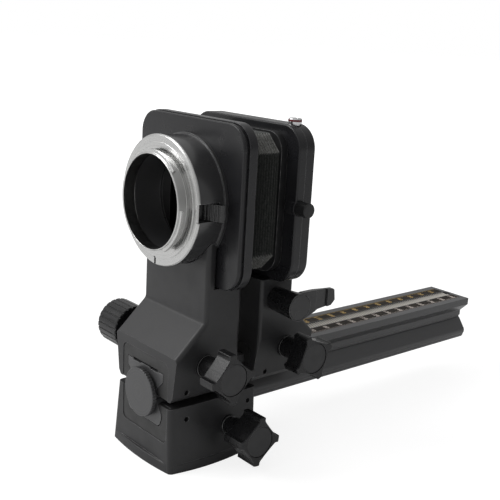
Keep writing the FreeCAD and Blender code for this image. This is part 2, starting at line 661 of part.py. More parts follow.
def clamp_knob(x_back, x_face, hub_radius, hub_start, y, z, degrees):
    """A clamp knob: corners, a round hub behind them, and a pocket for the cap."""
    body = star_prism(x_back, x_face)
    rim = [e for e in body.Edges if abs(e.CenterOfMass.x - x_face) < 0.001]
    body = body.makeChamfer(CLAMP_RIM, rim)
    hub = Part.makeCylinder(hub_radius, x_back - hub_start, V(hub_start, 0, 0), X_AXIS)
    hub = hub.makeFillet(0.5, circles_at(hub, X_AXIS, hub_radius, lambda c: c.x < hub_start + 0.1))
    knob = body.fuse(hub).removeSplitter()
    seat = x_face - CAP_THICK - CAP_SUNK
    knob = knob.cut(Part.makeCylinder(CAP_RADIUS + CAP_GAP, 3, V(seat, 0, 0), X_AXIS))
    knob = turned(knob, degrees)
    knob.translate(V(0, y, z))
    cap = Part.makeCylinder(CAP_RADIUS, CAP_THICK, V(seat, y, z), X_AXIS)
    cap = cap.makeFillet(0.3, circles_at(cap, X_AXIS, CAP_RADIUS, lambda c: c.x > x_face - 0.5))
    return knob, cap


def make_block_clamp():
    knob, cap = clamp_knob(BLOCK_CLAMP_BACK, BLOCK_CLAMP_FACE, BLOCK_HUB, BLOCK_HUB_START, BLOCK_CLAMP_Y,
                           BLOCK_CLAMP_Z, -6)
    neck_start = BLOCK_RING_END + 0.2
    knob = knob.fuse(rod_x(neck_start, BLOCK_HUB_START + 1, BLOCK_CLAMP_Y, BLOCK_CLAMP_Z, BLOCK_NECK))
    screw = rod_x(7.4, 42.0, BLOCK_CLAMP_Y, BLOCK_CLAMP_Z, SHAFT_RADIUS)
    neck = rod_x(5.0, 7.4, BLOCK_CLAMP_Y, BLOCK_CLAMP_Z, 2.2)
    nose = Part.makeCone(0.8, 2.2, 1.6, V(3.4, BLOCK_CLAMP_Y, BLOCK_CLAMP_Z), X_AXIS)
    keep("block_clamp_screw", screw.fuse(neck).fuse(nose).removeSplitter())
    knob = knob.cut(rod_x(20, 42.0, BLOCK_CLAMP_Y, BLOCK_CLAMP_Z, SHAFT_RADIUS))
    keep("block_clamp_knob", knob.removeSplitter())
    keep("block_clamp_cap", cap)


def make_drive(name, y):
    """A pinion shaft and its fluted knob."""
    shaft = rod_x(-50.0, 34.0, y, DRIVE_Z, SHAFT_RADIUS)
    keep(name + "_pinion", shaft.fuse(pinion_gear(y)))
    knob = rod_x(DRIVE_KNOB_END, DRIVE_KNOB_INNER, y, DRIVE_Z, DRIVE_KNOB_RADIUS)
    knob = knob.makeChamfer(DRIVE_KNOB_EDGE, circles_at(knob, X_AXIS, DRIVE_KNOB_RADIUS, lambda c: True))
    for k in range(DRIVE_GROOVES):
        angle = 2 * math.pi * (k + 0.5) / DRIVE_GROOVES
        groove_y = y + DRIVE_KNOB_RADIUS * math.cos(angle)
        groove_z = DRIVE_Z + DRIVE_KNOB_RADIUS * math.sin(angle)
        knob = knob.cut(rod_x(DRIVE_KNOB_END - 1, DRIVE_KNOB_INNER + 1, groove_y, groove_z,
                              DRIVE_GROOVE_RADIUS))
    hub = rod_x(DRIVE_KNOB_INNER, -BASE_HALF - 0.3, y, DRIVE_Z, 7.0)
    knob = knob.fuse(hub).removeSplitter()
    keep(name + "_drive_knob", knob.cut(rod_x(-50.0, 0, y, DRIVE_Z, SHAFT_RADIUS)))


def make_axis_clamp(name, y, degrees):
    """The clamp on a drive axis: a threaded sleeve round the shaft, its knob and the knob's cap."""
    hub_start = BASE_HALF + RING_THICK + 0.15
    knob, cap = clamp_knob(CLAMP_BACK, CLAMP_FACE, CLAMP_HUB, hub_start, y, DRIVE_Z, degrees)
    sleeve = rod_x(BUSH_START + 0.2, 40.0, y, DRIVE_Z, SLEEVE_RADIUS)
    sleeve = sleeve.cut(rod_x(0, 34.5, y, DRIVE_Z, SHAFT_RADIUS + RUNNING_GAP))
    keep(name + "_clamp_sleeve", sleeve)
    keep(name + "_clamp_knob", knob.cut(rod_x(0, 40.0, y, DRIVE_Z, SLEEVE_RADIUS)))
    keep(name + "_clamp_cap", cap)


# ---------------------------------------------------------------- standards
def casting_outside():
    """The camera standard's casting before anything is cut in it: base, sloped shoulder and column."""
    def at(setback, z):
        return (BASE_FACE + setback, z)

    head_face = CAMERA_HEAD_FACE - BASE_FACE
    horn_top = AXIS_Z - math.sqrt((DRUM_RADIUS + SADDLE_GAP) ** 2 - BASE_HALF ** 2)
    outline = [at(0, BASE_BOTTOM), at(0, BASE_SHOULDER), at(COLUMN_SETBACK, COLUMN_SHOULDER),
               at(COLUMN_SETBACK, horn_top), at(head_face - PART_LINE, horn_top),
               at(head_face - PART_LINE, HEAD_BOTTOM - PART_LINE), at(BASE_LENGTH, HEAD_BOTTOM - PART_LINE),
               at(BASE_LENGTH, BASE_BOTTOM)]
    solid = prism_x(outline, -BASE_HALF, BASE_HALF)
    solid = solid.makeFillet(3.0, edges_along(solid, X_AXIS, lambda c: abs(c.z - COLUMN_SHOULDER) < 0.1))
    for side in (-1, 1):
        taper = [(side * BASE_HALF, BASE_SHOULDER), (side * BASE_FOOT_HALF, BASE_BOTTOM + 2.2),
                 (side * (BASE_FOOT_HALF - 1.6), BASE_BOTTOM - 0.01), (side * 30, BASE_BOTTOM - 1),
                 (side * 30, BASE_SHOULDER)]
        solid = solid.cut(prism_y(taper, BASE_FACE - 1, BASE_FACE + BASE_LENGTH + 1))
    return solid


def round_casting(solid):
    """Rounds the casting's upright and sloping side edges."""
    column = edges_along(solid, Z_AXIS, lambda c: abs(abs(c.x) - BASE_HALF) < 0.01 and c.z > COLUMN_SHOULDER)
    slope = V(0, COLUMN_SETBACK, COLUMN_SHOULDER - BASE_SHOULDER).normalize()
    sloping = edges_along(solid, slope, lambda c: abs(abs(c.x) - BASE_HALF) < 0.01)
    round_edges = [e for e in solid.Edges if isinstance(e.Curve, Part.Circle)]
    bend = [e for e in round_edges if abs(abs(e.CenterOfMass.x) - BASE_HALF) < 0.01
            and abs(e.CenterOfMass.z - COLUMN_SHOULDER) < 3]
    return solid.makeFillet(EDGE_ROUND, column + sloping + bend)


def make_standard_frame(name, place, screw_places):
    """A standard's casting, end plates, gib, bush, set screws and clamp ring.

    Everything is worked out for the camera standard, and place puts it on this one.
    """
    y0, y1 = BASE_FACE, BASE_FACE + BASE_LENGTH
    axis_y = CAMERA_DRIVE_Y
    solid = round_casting(casting_outside())
    ring_start = CAMERA_HEAD_FACE - DRUM_RING_THICK - SADDLE_GAP
    solid = solid.cut(rod_y(y0, CAMERA_HEAD_FACE, DRUM_RADIUS + SADDLE_GAP))
    solid = solid.cut(rod_y(ring_start, CAMERA_HEAD_FACE, DRUM_RING + SADDLE_GAP))
    solid = solid.cut(rail_bar(y0 - 1, y1 + 1, SLIDE_GAP))
    notch = box(-NOTCH_HALF, NOTCH_HALF, y0 - 5, y1 + 5, RAIL_TOP - 1, RAIL_TOP + NOTCH_HEIGHT)
    solid = solid.cut(notch)
    waist = WAIST_HALF + SLIDE_GAP
    solid = solid.cut(box(-waist, waist, y0 - 1, y1 + 1, BASE_BOTTOM - 1, RAIL_TOP - 5))
    solid = solid.cut(rod_x(-6.0, 4.2, axis_y, DRIVE_Z, PINION_RADIUS + ADDENDUM + 0.7))
    solid = solid.cut(rod_x(-BUSH_START, BUSH_START, axis_y, DRIVE_Z, SHAFT_RADIUS + 0.6))
    solid = solid.cut(rod_x(-30, -BUSH_START, axis_y, DRIVE_Z, SHAFT_BUSH + SEAT_GAP))
    solid = solid.cut(rod_x(BUSH_START, 30, axis_y, DRIVE_Z, SLEEVE_RADIUS + RUNNING_GAP))
    plates = []
    for face, out in ((y0, -1), (y1, 1)):
        recess = end_recess(PLATE_HALF_BASE, BASE_BOTTOM, BASE_PLATE_TOP, PLATE_CORNER, -1, face + out,
                            PLATE_SEAT + 1, out)
        solid = solid.cut(recess)
        plate = end_recess(PLATE_HALF_BASE - PLATE_GAP, BASE_BOTTOM, BASE_PLATE_TOP - PLATE_GAP,
                           PLATE_CORNER, -1, face - out * PLATE_SUNK, PLATE_THICK, out)
        plate = plate.common(box(-30, 30, y0 - 5, y1 + 5, BASE_BOTTOM + 0.1, BASE_PLATE_TOP))
        plate = plate.cut(rail_bar(y0 - 5, y1 + 5, RELIEF))
        plate = plate.cut(notch)
        neck = WAIST_HALF + RELIEF
        plates.append(plate.cut(box(-neck, neck, y0 - 5, y1 + 5, BASE_BOTTOM - 1, RAIL_TOP - 5)))
    keep(name + "_end_plates", *[place(p) for p in plates])
    # Gib under the rail's right-hand shelf, with two set screws.
    solid = solid.cut(shelf_gib(y0 + GIB_SETBACK - 0.1, y1 - GIB_SETBACK + 0.1, grow=0.1))
    keep(name + "_gib", place(shelf_gib(y0 + GIB_SETBACK, y1 - GIB_SETBACK)))
    places = [y0 + d for d in screw_places]
    screw_z = RAIL_TOP - STANDARD_SCREW_DROP
    for y in places:
        solid = solid.cut(rod_x(12.0, 30, y, screw_z, SCREW_RADIUS + SEAT_GAP))
    screws = side_screws(21.0, 11.0, screw_z, places)
    # Their tips are cut off where the gib and the rail stand.
    tip_cut = shelf_gib(y0, y1, grow=0.02, length=9.0, start=-1.5)
    tip_cut = tip_cut.fuse(rail_bar(y0, y1, 0.5)).fuse(box(0, 12.4, y0, y1, RAIL_TOP - 17, RAIL_TOP - 2))
    keep(name + "_gib_screws", *[place(s.cut(tip_cut)) for s in screws])
    # The shaft runs in this bush on the drive knob's side, and in the clamp's sleeve on the other.
    bush = rod_x(-BASE_HALF + 0.4, -BUSH_START - 0.1, axis_y, DRIVE_Z, SHAFT_BUSH)
    keep(name + "_shaft_bush", place(bush.cut(rod_x(-40, 0, axis_y, DRIVE_Z, SHAFT_RADIUS + RUNNING_GAP))))
    ring = rod_x(BASE_HALF - RING_SEAT, BASE_HALF + RING_THICK, axis_y, DRIVE_Z, RING_RADIUS)
    ring = ring.makeFillet(0.3, circles_at(ring, X_AXIS, RING_RADIUS, lambda c: c.x > BASE_HALF))
    solid = solid.cut(rod_x(BASE_HALF - RING_SEAT, 30, axis_y, DRIVE_Z, RING_RADIUS + SEAT_GAP))
    keep(name + "_clamp_ring", place(ring.cut(rod_x(0, 30, axis_y, DRIVE_Z, SLEEVE_RADIUS + 0.15))))
    return place(solid)


def as_it_is(shape):
    return shape


def make_camera_standard():
    casting = make_standard_frame("camera", as_it_is, CAMERA_SCREWS)
    keep("camera_base", casting)
    face, back = CAMERA_HEAD_FACE, CAMERA_HEAD_BACK
    groove = face + HEAD_LIP
    split = groove + HEAD_GROOVE
    inset = HEAD_GROOVE_INSET
    lip = plate_y(HEAD_HALF - 0.4, HEAD_BOTTOM + 0.4, CAMERA_HEAD_TOP - 0.4, HEAD_CORNER - 0.4, face, groove)
    lip = lip.makeFillet(0.6, [e for e in lip.Edges if abs(e.CenterOfMass.y - face) < 0.001])
    neck = plate_y(HEAD_HALF - inset, HEAD_BOTTOM + inset, CAMERA_HEAD_TOP - inset, HEAD_CORNER - inset,
                   groove, split)
    near = lip.fuse(neck).removeSplitter().cut(rod_y(face - 1, split + 1, CARRIER_RADIUS - 0.6))
    keep("camera_head_near", near)
    far = plate_y(HEAD_HALF, HEAD_BOTTOM, CAMERA_HEAD_TOP, HEAD_CORNER, split, back)
    far = far.makeFillet(0.8, [e for e in far.Edges if abs(e.CenterOfMass.y - back) < 0.001])
    pocket = plate_y(FRAME_HALF + 0.3, AXIS_Z - FRAME_HALF_HEIGHT - 0.3, AXIS_Z + FRAME_HALF_HEIGHT + 0.3,
                     FRAME_CORNER + 0.3, split - 1, back + 1)
    keep("camera_head_far", far.cut(pocket))
    keep("bellows_rear_frame", bellows_frame(split, BELLOWS_NEAR))
    drum_front = MOUNT_PLANE + FLANGE_THICK + PART_LINE
    drum = rod_y(drum_front, face, DRUM_RADIUS)
    drum = drum.fuse(rod_y(face - DRUM_RING_THICK, face, DRUM_RING)).removeSplitter()
    drum = drum.cut(rod_y(drum_front - 1, face + 1, CARRIER_RADIUS + PART_LINE))
    drum = drum.cut(rod_y(face - 3.0, face + 1, CARRIER_LIP + 0.3))
    drum = drum.cut(box(DRUM_RADIUS - 9.4, DRUM_RADIUS + 2.6, drum_front - 1, LEVER_BACK + 0.4,
                        LEVER_MIDDLE_Z - LEVER_HALF - 0.35, LEVER_MIDDLE_Z + LEVER_HALF + 0.35))
    x, y = TRUNNION_PLACE
    low, high = LEVER_MIDDLE_Z - TRUNNION_HALF - 0.1, LEVER_MIDDLE_Z + TRUNNION_HALF + 0.1
    keep("camera_drum", drum.cut(rod_z(low, high, x, y, TRUNNION_RADIUS + RUNNING_GAP)))


def bellows_frame(y0, y1):
    """A square frame that holds one end of the bellows."""
    outer = plate_y(FRAME_HALF, AXIS_Z - FRAME_HALF_HEIGHT, AXIS_Z + FRAME_HALF_HEIGHT, FRAME_CORNER, y0, y1)
    return outer.cut(window(y0 - 1, y1 + 1))


def window(y0, y1):
    """The square opening inside the bellows' frames."""
    low, high = AXIS_Z - WINDOW_HALF_HEIGHT, AXIS_Z + WINDOW_HALF_HEIGHT
    return plate_y(WINDOW_HALF, low, high, WINDOW_CORNER, y0, y1)


def make_camera_mount():
    """The turning mount: carrier ring, flange with its barrel and tabs, and the screws that join them."""
    back = MOUNT_PLANE + FLANGE_THICK
    flange = rod_y(MOUNT_PLANE, back, FLANGE_RADIUS)
    rim = circles_at(flange, Y_AXIS, FLANGE_RADIUS, lambda c: c.y < MOUNT_PLANE + 0.1)
    flange = flange.makeChamfer(0.6, rim)
    flange = flange.cut(box(FLANGE_RADIUS - 1.3, 32, MOUNT_PLANE - 1, back + 1, LEVER_MIDDLE_Z - 4.2,
                            LEVER_MIDDLE_Z + 4.2))
    step = rod_y(MOUNT_PLANE - 0.35, MOUNT_PLANE, 26.4)
    barrel = rod_y(BARREL_FRONT, MOUNT_PLANE, BARREL_RADIUS)
    front = circles_at(barrel, Y_AXIS, BARREL_RADIUS, lambda c: c.y < BARREL_FRONT + 0.1)
    barrel = barrel.makeChamfer(0.3, front)
    mount = flange.fuse(step).fuse(barrel)
    for start, stop in MOUNT_TABS:
        tab = sector(TAB_RADIUS, BARREL_RADIUS - 1, start, stop, BARREL_FRONT + 0.7, BARREL_FRONT + 2.3)
        mount = mount.fuse(tab)
    mount = mount.removeSplitter()
    mount = mount.cut(rod_y(BARREL_FRONT - 1, back + 1, LIGHT_RADIUS))
    mount = mount.cut(box(-1.9, -0.7, MOUNT_PLANE - 1, MOUNT_PLANE + 0.7, AXIS_Z - 31, AXIS_Z - 25.9))
    carrier = rod_y(back, CAMERA_HEAD_FACE - PART_LINE, CARRIER_RADIUS)
    lip = rod_y(CAMERA_HEAD_FACE - 2.6, CAMERA_HEAD_FACE - PART_LINE, CARRIER_LIP)
    carrier = carrier.fuse(lip).removeSplitter()
    carrier = carrier.cut(rod_y(back - 1, CAMERA_HEAD_FACE + 1, LIGHT_RADIUS + 0.3))
    screws = []
    for k in range(5):
        angle = math.radians(18 + 72 * k)
        x, z = MOUNT_SCREW_CIRCLE * math.cos(angle), AXIS_Z + MOUNT_SCREW_CIRCLE * math.sin(angle)
        shank = rod_y(back - 0.7, CAMERA_HEAD_FACE - 2.0, 0.8, x, z)
        head = rod_y(CAMERA_HEAD_FACE - 2.0, CAMERA_HEAD_FACE - 0.8, 1.5, x, z)
        carrier = carrier.cut(rod_y(back - 1, CAMERA_HEAD_FACE, 0.85, x, z))
        carrier = carrier.cut(rod_y(CAMERA_HEAD_FACE - 2.0, CAMERA_HEAD_FACE, 1.6, x, z))
        mount = mount.cut(rod_y(back - 0.7, back + 1, 0.8, x, z))
        screws.append(shank.fuse(head).removeSplitter())
    keep("mount_flange", mount)
    keep("mount_carrier", carrier)
    keep("mount_screws", *screws)


def sector(outer, inner, start, stop, y0, y1):
    """Part of a ring about the light axis, between two angles from +X towards +Z."""
    disc = Part.makeCylinder(outer, y1 - y0, V(0, 0, 0), Z_AXIS, stop - start)
    disc = disc.cut(Part.makeCylinder(inner, y1 - y0 + 2, V(0, 0, -1), Z_AXIS))
    disc.rotate(V(0, 0, 0), Z_AXIS, start)
    disc.rotate(V(0, 0, 0), X_AXIS, 90)
    disc.translate(V(0, y1, AXIS_Z))
    return disc


def make_mount_lever():
    """The ribbed lever beside the drum that frees the mount to turn."""
    z0, z1 = LEVER_MIDDLE_Z - LEVER_HALF, LEVER_MIDDLE_Z + LEVER_HALF
    root, tip = LEVER_ROOT, LEVER_TIP
    outline = [(root.x, root.y), (tip.x, tip.y), (tip.x + 0.5, tip.y + 0.7), (tip.x + 0.5, tip.y + 1.4),
               (tip.x, LEVER_BACK), (root.x, LEVER_BACK)]
    block = prism([V(x, y, z0) for x, y in outline], V(0, 0, z1 - z0))
    along = (tip - root).normalize()
    for k in range(5):
        place = root + along * (1.2 + LEVER_PITCH * k)
        block = block.cut(rod_z(z0 - 1, z1 + 1, place.x, place.y, LEVER_NOTCH))
    x, y = TRUNNION_PLACE
    trunnion = rod_z(LEVER_MIDDLE_Z - TRUNNION_HALF, LEVER_MIDDLE_Z + TRUNNION_HALF, x, y, TRUNNION_RADIUS)
    keep("mount_lever", block.fuse(trunnion).removeSplitter())


def make_lens_standard():
    casting = make_standard_frame("lens", mirrored, LENS_SCREWS)
    casting = casting.cut(rod_x(14.0, 30, LOCK_Y, LOCK_Z, LOCK_PIVOT + RUNNING_GAP))
    keep("lens_base", casting)
    near, split, far = LENS_HEAD_NEAR, LENS_HEAD_SPLIT, LENS_HEAD_FAR
    cavity = rod_y(split, split + LEVER_SPACE, 33.0)
    front = plate_y(HEAD_HALF - 0.15, HEAD_BOTTOM, LENS_HEAD_TOP, HEAD_CORNER, near, split)
    front = front.makeFillet(0.8, [e for e in front.Edges if abs(e.CenterOfMass.y - near) < 0.001])
    housing = rod_x(HOUSING_START, HEAD_HALF - 0.15, BUTTON_Y, BUTTON_Z, HOUSING_RADIUS)
    inner_end = circles_at(housing, X_AXIS, HOUSING_RADIUS, lambda c: c.x < HOUSING_START + 1)
    housing = housing.makeFillet(0.6, inner_end)
    housing = housing.common(box(0, 60, near - 5, split, 0, 200))
    front = front.fuse(housing).removeSplitter().cut(cavity).cut(window(near - 1, split + 0.5))
    rear = plate_y(HEAD_HALF - 0.15, HEAD_BOTTOM, LENS_HEAD_TOP, HEAD_CORNER, split, far)
    rear = rear.makeFillet(0.8, [e for e in rear.Edges if abs(e.CenterOfMass.y - far) < 0.001])
    rear = rear.cut(cavity).cut(rod_y(split - 1, far + 1, 26.5))
    rod_hole = rod_x(ROD_END - 1, 50, BUTTON_Y, BUTTON_Z, ROD_RADIUS + RUNNING_GAP)
    button_hole = rod_x(HEAD_HALF - 2.6, 50, BUTTON_Y, BUTTON_Z, BUTTON_RADIUS + RUNNING_GAP)
    plunger_hole = rod_z(AXIS_Z - 4, LENS_HEAD_TOP + 5, SOCKET_X, SOCKET_Y, PLUNGER_RADIUS + RUNNING_GAP)
    socket_hole = rod_z(LENS_HEAD_TOP - 3.4, LENS_HEAD_TOP + 5, SOCKET_X, SOCKET_Y, 2.4 + SEAT_GAP)
    for hole in (rod_hole, button_hole, plunger_hole, socket_hole):
        front = front.cut(hole)
        rear = rear.cut(hole)
    keep("lens_head_near", front)
    keep("bellows_front_frame", bellows_frame(BELLOWS_FAR, near))
    # Mount ring with three inner tabs and its screws.
    ring = rod_y(far, LENS_PLANE, LENS_RING_RADIUS)
    rim = circles_at(ring, Y_AXIS, LENS_RING_RADIUS, lambda c: c.y > LENS_PLANE - 0.1)
    ring = ring.makeChamfer(0.6, rim)
    ring = ring.fuse(rod_y(split + LEVER_SPACE, far, 26.3)).fuse(rod_y(split + 0.1, far, LEVER_INNER - 0.1))
    ring = ring.removeSplitter().cut(rod_y(split - 1, LENS_PLANE + 1, THROAT_RADIUS))
    for start, stop in LENS_TABS:
        tab = sector(THROAT_RADIUS + 0.5, LENS_TAB_RADIUS, start, stop, LENS_PLANE - 1.3, LENS_PLANE)
        ring = ring.fuse(tab)
    slot_y = split + LEVER_SPACE
    slot = sector(LEVER_INNER + 0.5, THROAT_RADIUS - 1, 139, 162, split - 1, slot_y)
    ring = ring.cut(slot).removeSplitter()
    pin_hole = rod_y(split + LEVER_SPACE, LENS_PLANE + 1, PIN_RADIUS + RUNNING_GAP, PIN_X, BUTTON_Z)
    ring = ring.cut(pin_hole)
    screws = []
    for k in range(5):
        angle = math.radians(36 + 72 * k)
        x, z = LENS_SCREW_CIRCLE * math.cos(angle), AXIS_Z + LENS_SCREW_CIRCLE * math.sin(angle)
        head = rod_y(LENS_PLANE - 1.0, LENS_PLANE - 0.15, 1.3, x, z)
        cross = box(x - 0.15, x + 0.15, LENS_PLANE - 0.6, LENS_PLANE, z - 0.8, z + 0.8)
        cross = cross.fuse(box(x - 0.8, x + 0.8, LENS_PLANE - 0.6, LENS_PLANE, z - 0.15, z + 0.15))
        shank = rod_y(far - 2.0, LENS_PLANE - 1.0, 0.7, x, z)
        ring = ring.cut(rod_y(LENS_PLANE - 1.0, LENS_PLANE + 1, 1.4, x, z))
        ring = ring.cut(rod_y(far - 2.0, LENS_PLANE, 0.75, x, z))
        rear = rear.cut(rod_y(far - 2.0, far + 1, 0.75, x, z))
        screws.append(head.cut(cross).fuse(shank).removeSplitter())
    keep("lens_mount_ring", ring)
    keep("lens_mount_screws", *screws)
    keep("lens_head_far", rear.cut(pin_hole))
    # Cable release socket: a chromed bush with a coloured ring in its waist.
    top = LENS_HEAD_TOP + SOCKET_HEIGHT
    socket = rod_z(LENS_HEAD_TOP, top, SOCKET_X, SOCKET_Y, SOCKET_RADIUS)
    socket = socket.makeFillet(0.6, circles_at(socket, Z_AXIS, SOCKET_RADIUS, lambda c: c.z > top - 0.1))
    band = rod_z(LENS_HEAD_TOP + 1.1, LENS_HEAD_TOP + 1.9, SOCKET_X, SOCKET_Y, SOCKET_RADIUS + 0.1)
    band = band.cut(rod_z(0, 200, SOCKET_X, SOCKET_Y, SOCKET_RADIUS - 0.7))
    seat = rod_z(LENS_HEAD_TOP + 1.1, LENS_HEAD_TOP + 1.9, SOCKET_X, SOCKET_Y, SOCKET_RADIUS + 1)
    seat = seat.cut(rod_z(0, 200, SOCKET_X, SOCKET_Y, SOCKET_RADIUS - 0.7))
    shank = rod_z(LENS_HEAD_TOP - 3.4, LENS_HEAD_TOP, SOCKET_X, SOCKET_Y, 2.4)
    socket = socket.fuse(shank).removeSplitter().cut(seat)
    keep("cable_socket", socket.cut(rod_z(0, 200, SOCKET_X, SOCKET_Y, SOCKET_HOLE)))
    keep("cable_socket_ring", band)


def make_lens_controls():
    """The release button, lock pin, cable plunger, aperture lever and head lock lever."""
    button = rod_x(HEAD_HALF - 0.45, BUTTON_END, BUTTON_Y, BUTTON_Z, BUTTON_RADIUS)
    rim = circles_at(button, X_AXIS, BUTTON_RADIUS, lambda c: c.x > BUTTON_END - 0.1)
    rod = rod_x(ROD_END + 2, HEAD_HALF - 0.45, BUTTON_Y, BUTTON_Z, ROD_RADIUS)
    keep("lens_release_button", button.makeFillet(0.5, rim).fuse(rod).removeSplitter())
    pin_start = LENS_HEAD_SPLIT + LEVER_SPACE + PIN_STROKE + 0.2
    keep("lens_lock_pin", rod_y(pin_start, LENS_PLANE + PIN_PROUD, PIN_RADIUS, PIN_X, BUTTON_Z))
    ear_top = AXIS_Z + 3.4
    plunger_top = LENS_HEAD_TOP - SOCKET_DEPTH + SOCKET_HEIGHT - 1.0
    keep("cable_plunger", rod_z(ear_top + 0.3, plunger_top, SOCKET_X, SOCKET_Y, PLUNGER_RADIUS))
    y0, y1 = LEVER_PLANE, LEVER_PLANE + LEVER_THICK
    arc = sector(LEVER_OUTER, LEVER_INNER, 4, 170, y0, y1)
    ear = box(26.6, SOCKET_X + 1.4, y0, y1, AXIS_Z + 1.2, ear_top)
    finger = sector(LEVER_INNER + 0.5, 19.9, 152, 159, y0, y1)
    tongue = sector(21.4, 19.9, 152, 159, y0, LENS_PLANE - 1.7)
    keep("aperture_lever", arc.fuse(ear).fuse(finger).fuse(tongue).removeSplitter())
    # The lever knob that locks the head on its column.
    start = BASE_HALF + 0.2
    barrel = Part.makeCone(LOCK_ROOT, LOCK_HUB, LOCK_FACE - start, V(start, 0, 0), X_AXIS)
    face = LOCK_FACE - 0.3
    top = [(0.0, 6.4), (1.8, 6.9), (9.8, 6.9), (16.8, 6.3), (LOCK_REACH - 1.6, 6.0)]
    end = [(LOCK_REACH - 0.7, 5.3), (LOCK_REACH, 0.2), (LOCK_REACH - 2.4, -2.1)]
    bottom = [(18.4, -2.4), (12.1, -2.8), (9.1, -4.0), (4.4, -6.0)]
    wing = prism_x(top + end + bottom, face - LOCK_WING, face)
    (scoop_near, scoop_far), (shallow, deep) = LOCK_SCOOP, LOCK_SCOOP_DEPTH
    plan = [(face + 1, scoop_near), (face - shallow, scoop_near), (face - deep, scoop_far),
            (face + 1, scoop_far)]
    scoop = prism([V(x, y, -9) for x, y in plan], V(0, 0, 18))
    lever = barrel.fuse(wing.cut(scoop)).fuse(rod_x(15.0, start, 0, 0, LOCK_PIVOT)).removeSplitter()
    groove = rod_x(LOCK_FACE - 0.4, LOCK_FACE + 1, 0, 0, 6.3).cut(rod_x(0, LOCK_FACE + 1, 0, 0, 6.0))
    lever = lever.cut(groove)
    lever.translate(V(0, LOCK_Y, LOCK_Z))
    keep("head_lock_lever", lever)


def make_bellows():
    """The bellows as a plain tube with cut corners."""
    def tube(half, half_height, cut, y0, y1):
        x, z = half, half_height
        outline = [(x, z - cut), (x - cut, z), (cut - x, z), (-x, z - cut),
                   (-x, cut - z), (cut - x, -z), (x - cut, -z), (x, cut - z)]
        return prism_y([(a, AXIS_Z + b) for a, b in outline], y0, y1)

    outer = tube(BELLOWS_HALF, BELLOWS_HALF_HEIGHT, BELLOWS_CHAMFER, BELLOWS_NEAR, BELLOWS_FAR)
    inner = tube(BELLOWS_HALF - BELLOWS_WALL, BELLOWS_HALF_HEIGHT - BELLOWS_WALL, BELLOWS_CHAMFER - 2,
                 BELLOWS_NEAR - 1, BELLOWS_FAR + 1)
    keep("bellows", outer.cut(inner))


def main():
    make_rail()
    make_end_disc()
    make_rack()
    make_block()
    make_block_clamp()
    make_camera_standard()
    make_camera_mount()
    make_mount_lever()
    make_lens_standard()
    make_lens_controls()
    for name, y, degrees in (("camera", CAMERA_DRIVE_Y, 4), ("lens", LENS_DRIVE_Y, 24)):
        make_drive(name, y)
        make_axis_clamp(name, y, degrees)
    make_bellows()
    os.makedirs("parts", exist_ok=True)
    for name, shape in parts.items():
        shape.exportStep(os.path.join("parts", name + ".step"))
        good = shape.isValid() and all(s.Volume > 0 for s in shape.Solids)
        state = "" if good else "  NOT VALID"
        print(f"{name}: {len(shape.Solids)} solid(s), {shape.Volume:.1f} mm3{state}")
    print(len(parts), "nodes")


main()
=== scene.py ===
"""The looks of a macro bellows unit: a tripod block, a rack rail, two standards and a bellows between them.

The file is laid out as an add-on and is run as a script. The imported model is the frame: its nodes stay
where they are and get their finishes here, and the bellows, the scales' numbers and their marks are made
here. Metres, +Z up, +Y along the rail, +X towards the clamp knobs.
"""
import math

import bpy
from mathutils import Matrix, Vector


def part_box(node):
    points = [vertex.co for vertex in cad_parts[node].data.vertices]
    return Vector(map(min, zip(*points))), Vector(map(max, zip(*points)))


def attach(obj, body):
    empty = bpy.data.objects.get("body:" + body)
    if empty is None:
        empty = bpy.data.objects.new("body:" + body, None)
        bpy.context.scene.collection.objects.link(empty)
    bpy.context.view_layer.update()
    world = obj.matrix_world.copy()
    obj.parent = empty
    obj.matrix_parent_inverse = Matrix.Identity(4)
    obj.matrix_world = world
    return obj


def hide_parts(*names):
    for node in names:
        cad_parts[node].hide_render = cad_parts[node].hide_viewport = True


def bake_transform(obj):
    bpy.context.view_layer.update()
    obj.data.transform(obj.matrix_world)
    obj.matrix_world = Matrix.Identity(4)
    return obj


bl_info = {
    "name": "Macro bellows unit",
    "version": (1, 0, 0),
    "blender": (4, 5, 0),
    "location": "3D View > Sidebar > Bellows Unit",
    "description": "Finishes a macro bellows unit, makes its bellows and scales, and lays a pale floor",
    "category": "Object",
}

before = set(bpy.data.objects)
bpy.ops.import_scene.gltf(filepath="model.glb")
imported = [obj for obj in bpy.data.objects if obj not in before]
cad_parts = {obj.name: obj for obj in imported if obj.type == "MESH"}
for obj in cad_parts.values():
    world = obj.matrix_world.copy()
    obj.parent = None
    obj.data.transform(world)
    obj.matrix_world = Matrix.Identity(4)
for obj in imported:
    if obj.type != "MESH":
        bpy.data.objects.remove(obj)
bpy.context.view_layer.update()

MM = 0.001
BELLOWS_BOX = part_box("bellows")
STRIP_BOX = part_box("scale_strip_right")
AXIS_Z = (BELLOWS_BOX[0].z + BELLOWS_BOX[1].z) / 2

# How well an edge's rounded and flat normals agree where its wear and painted highlight start, and are
# fullest.
EDGE_LIGHT_START = 0.985
EDGE_LIGHT_FULL = 0.80
BEVEL_SAMPLES = 6               # rays that find a rounded edge's normal

# The spans of noise that are drawn out into soft patches, and into crisper ones.
SOFT_SPAN = (0.35, 0.65)
CRISP_SPAN = (0.42, 0.62)

# The mount: its painted bore, of the flange's radius, and the engraved index line below the light axis.
BORE_SHARE = 21.45 / 29.9
INDEX_ACROSS = -1.3 * MM
INDEX_HALF_WIDTH = 0.62 * MM
INDEX_TOP = 25.8 * MM

# The lock lever's band of painted shade, back from the wing's end, and the rack's teeth, down from their
# tops.
GRIP_START = 12.6 * MM
GRIP_STOP = 5.0 * MM
TOOTH_ROOT = 1.1 * MM
TOOTH_TIP = 0.2 * MM

# How far the tips of the pleats may stand proud of the bellows' plain solid.
PROUD_WIDTH = 0.4 * MM
PROUD_HEIGHT = 0.5 * MM

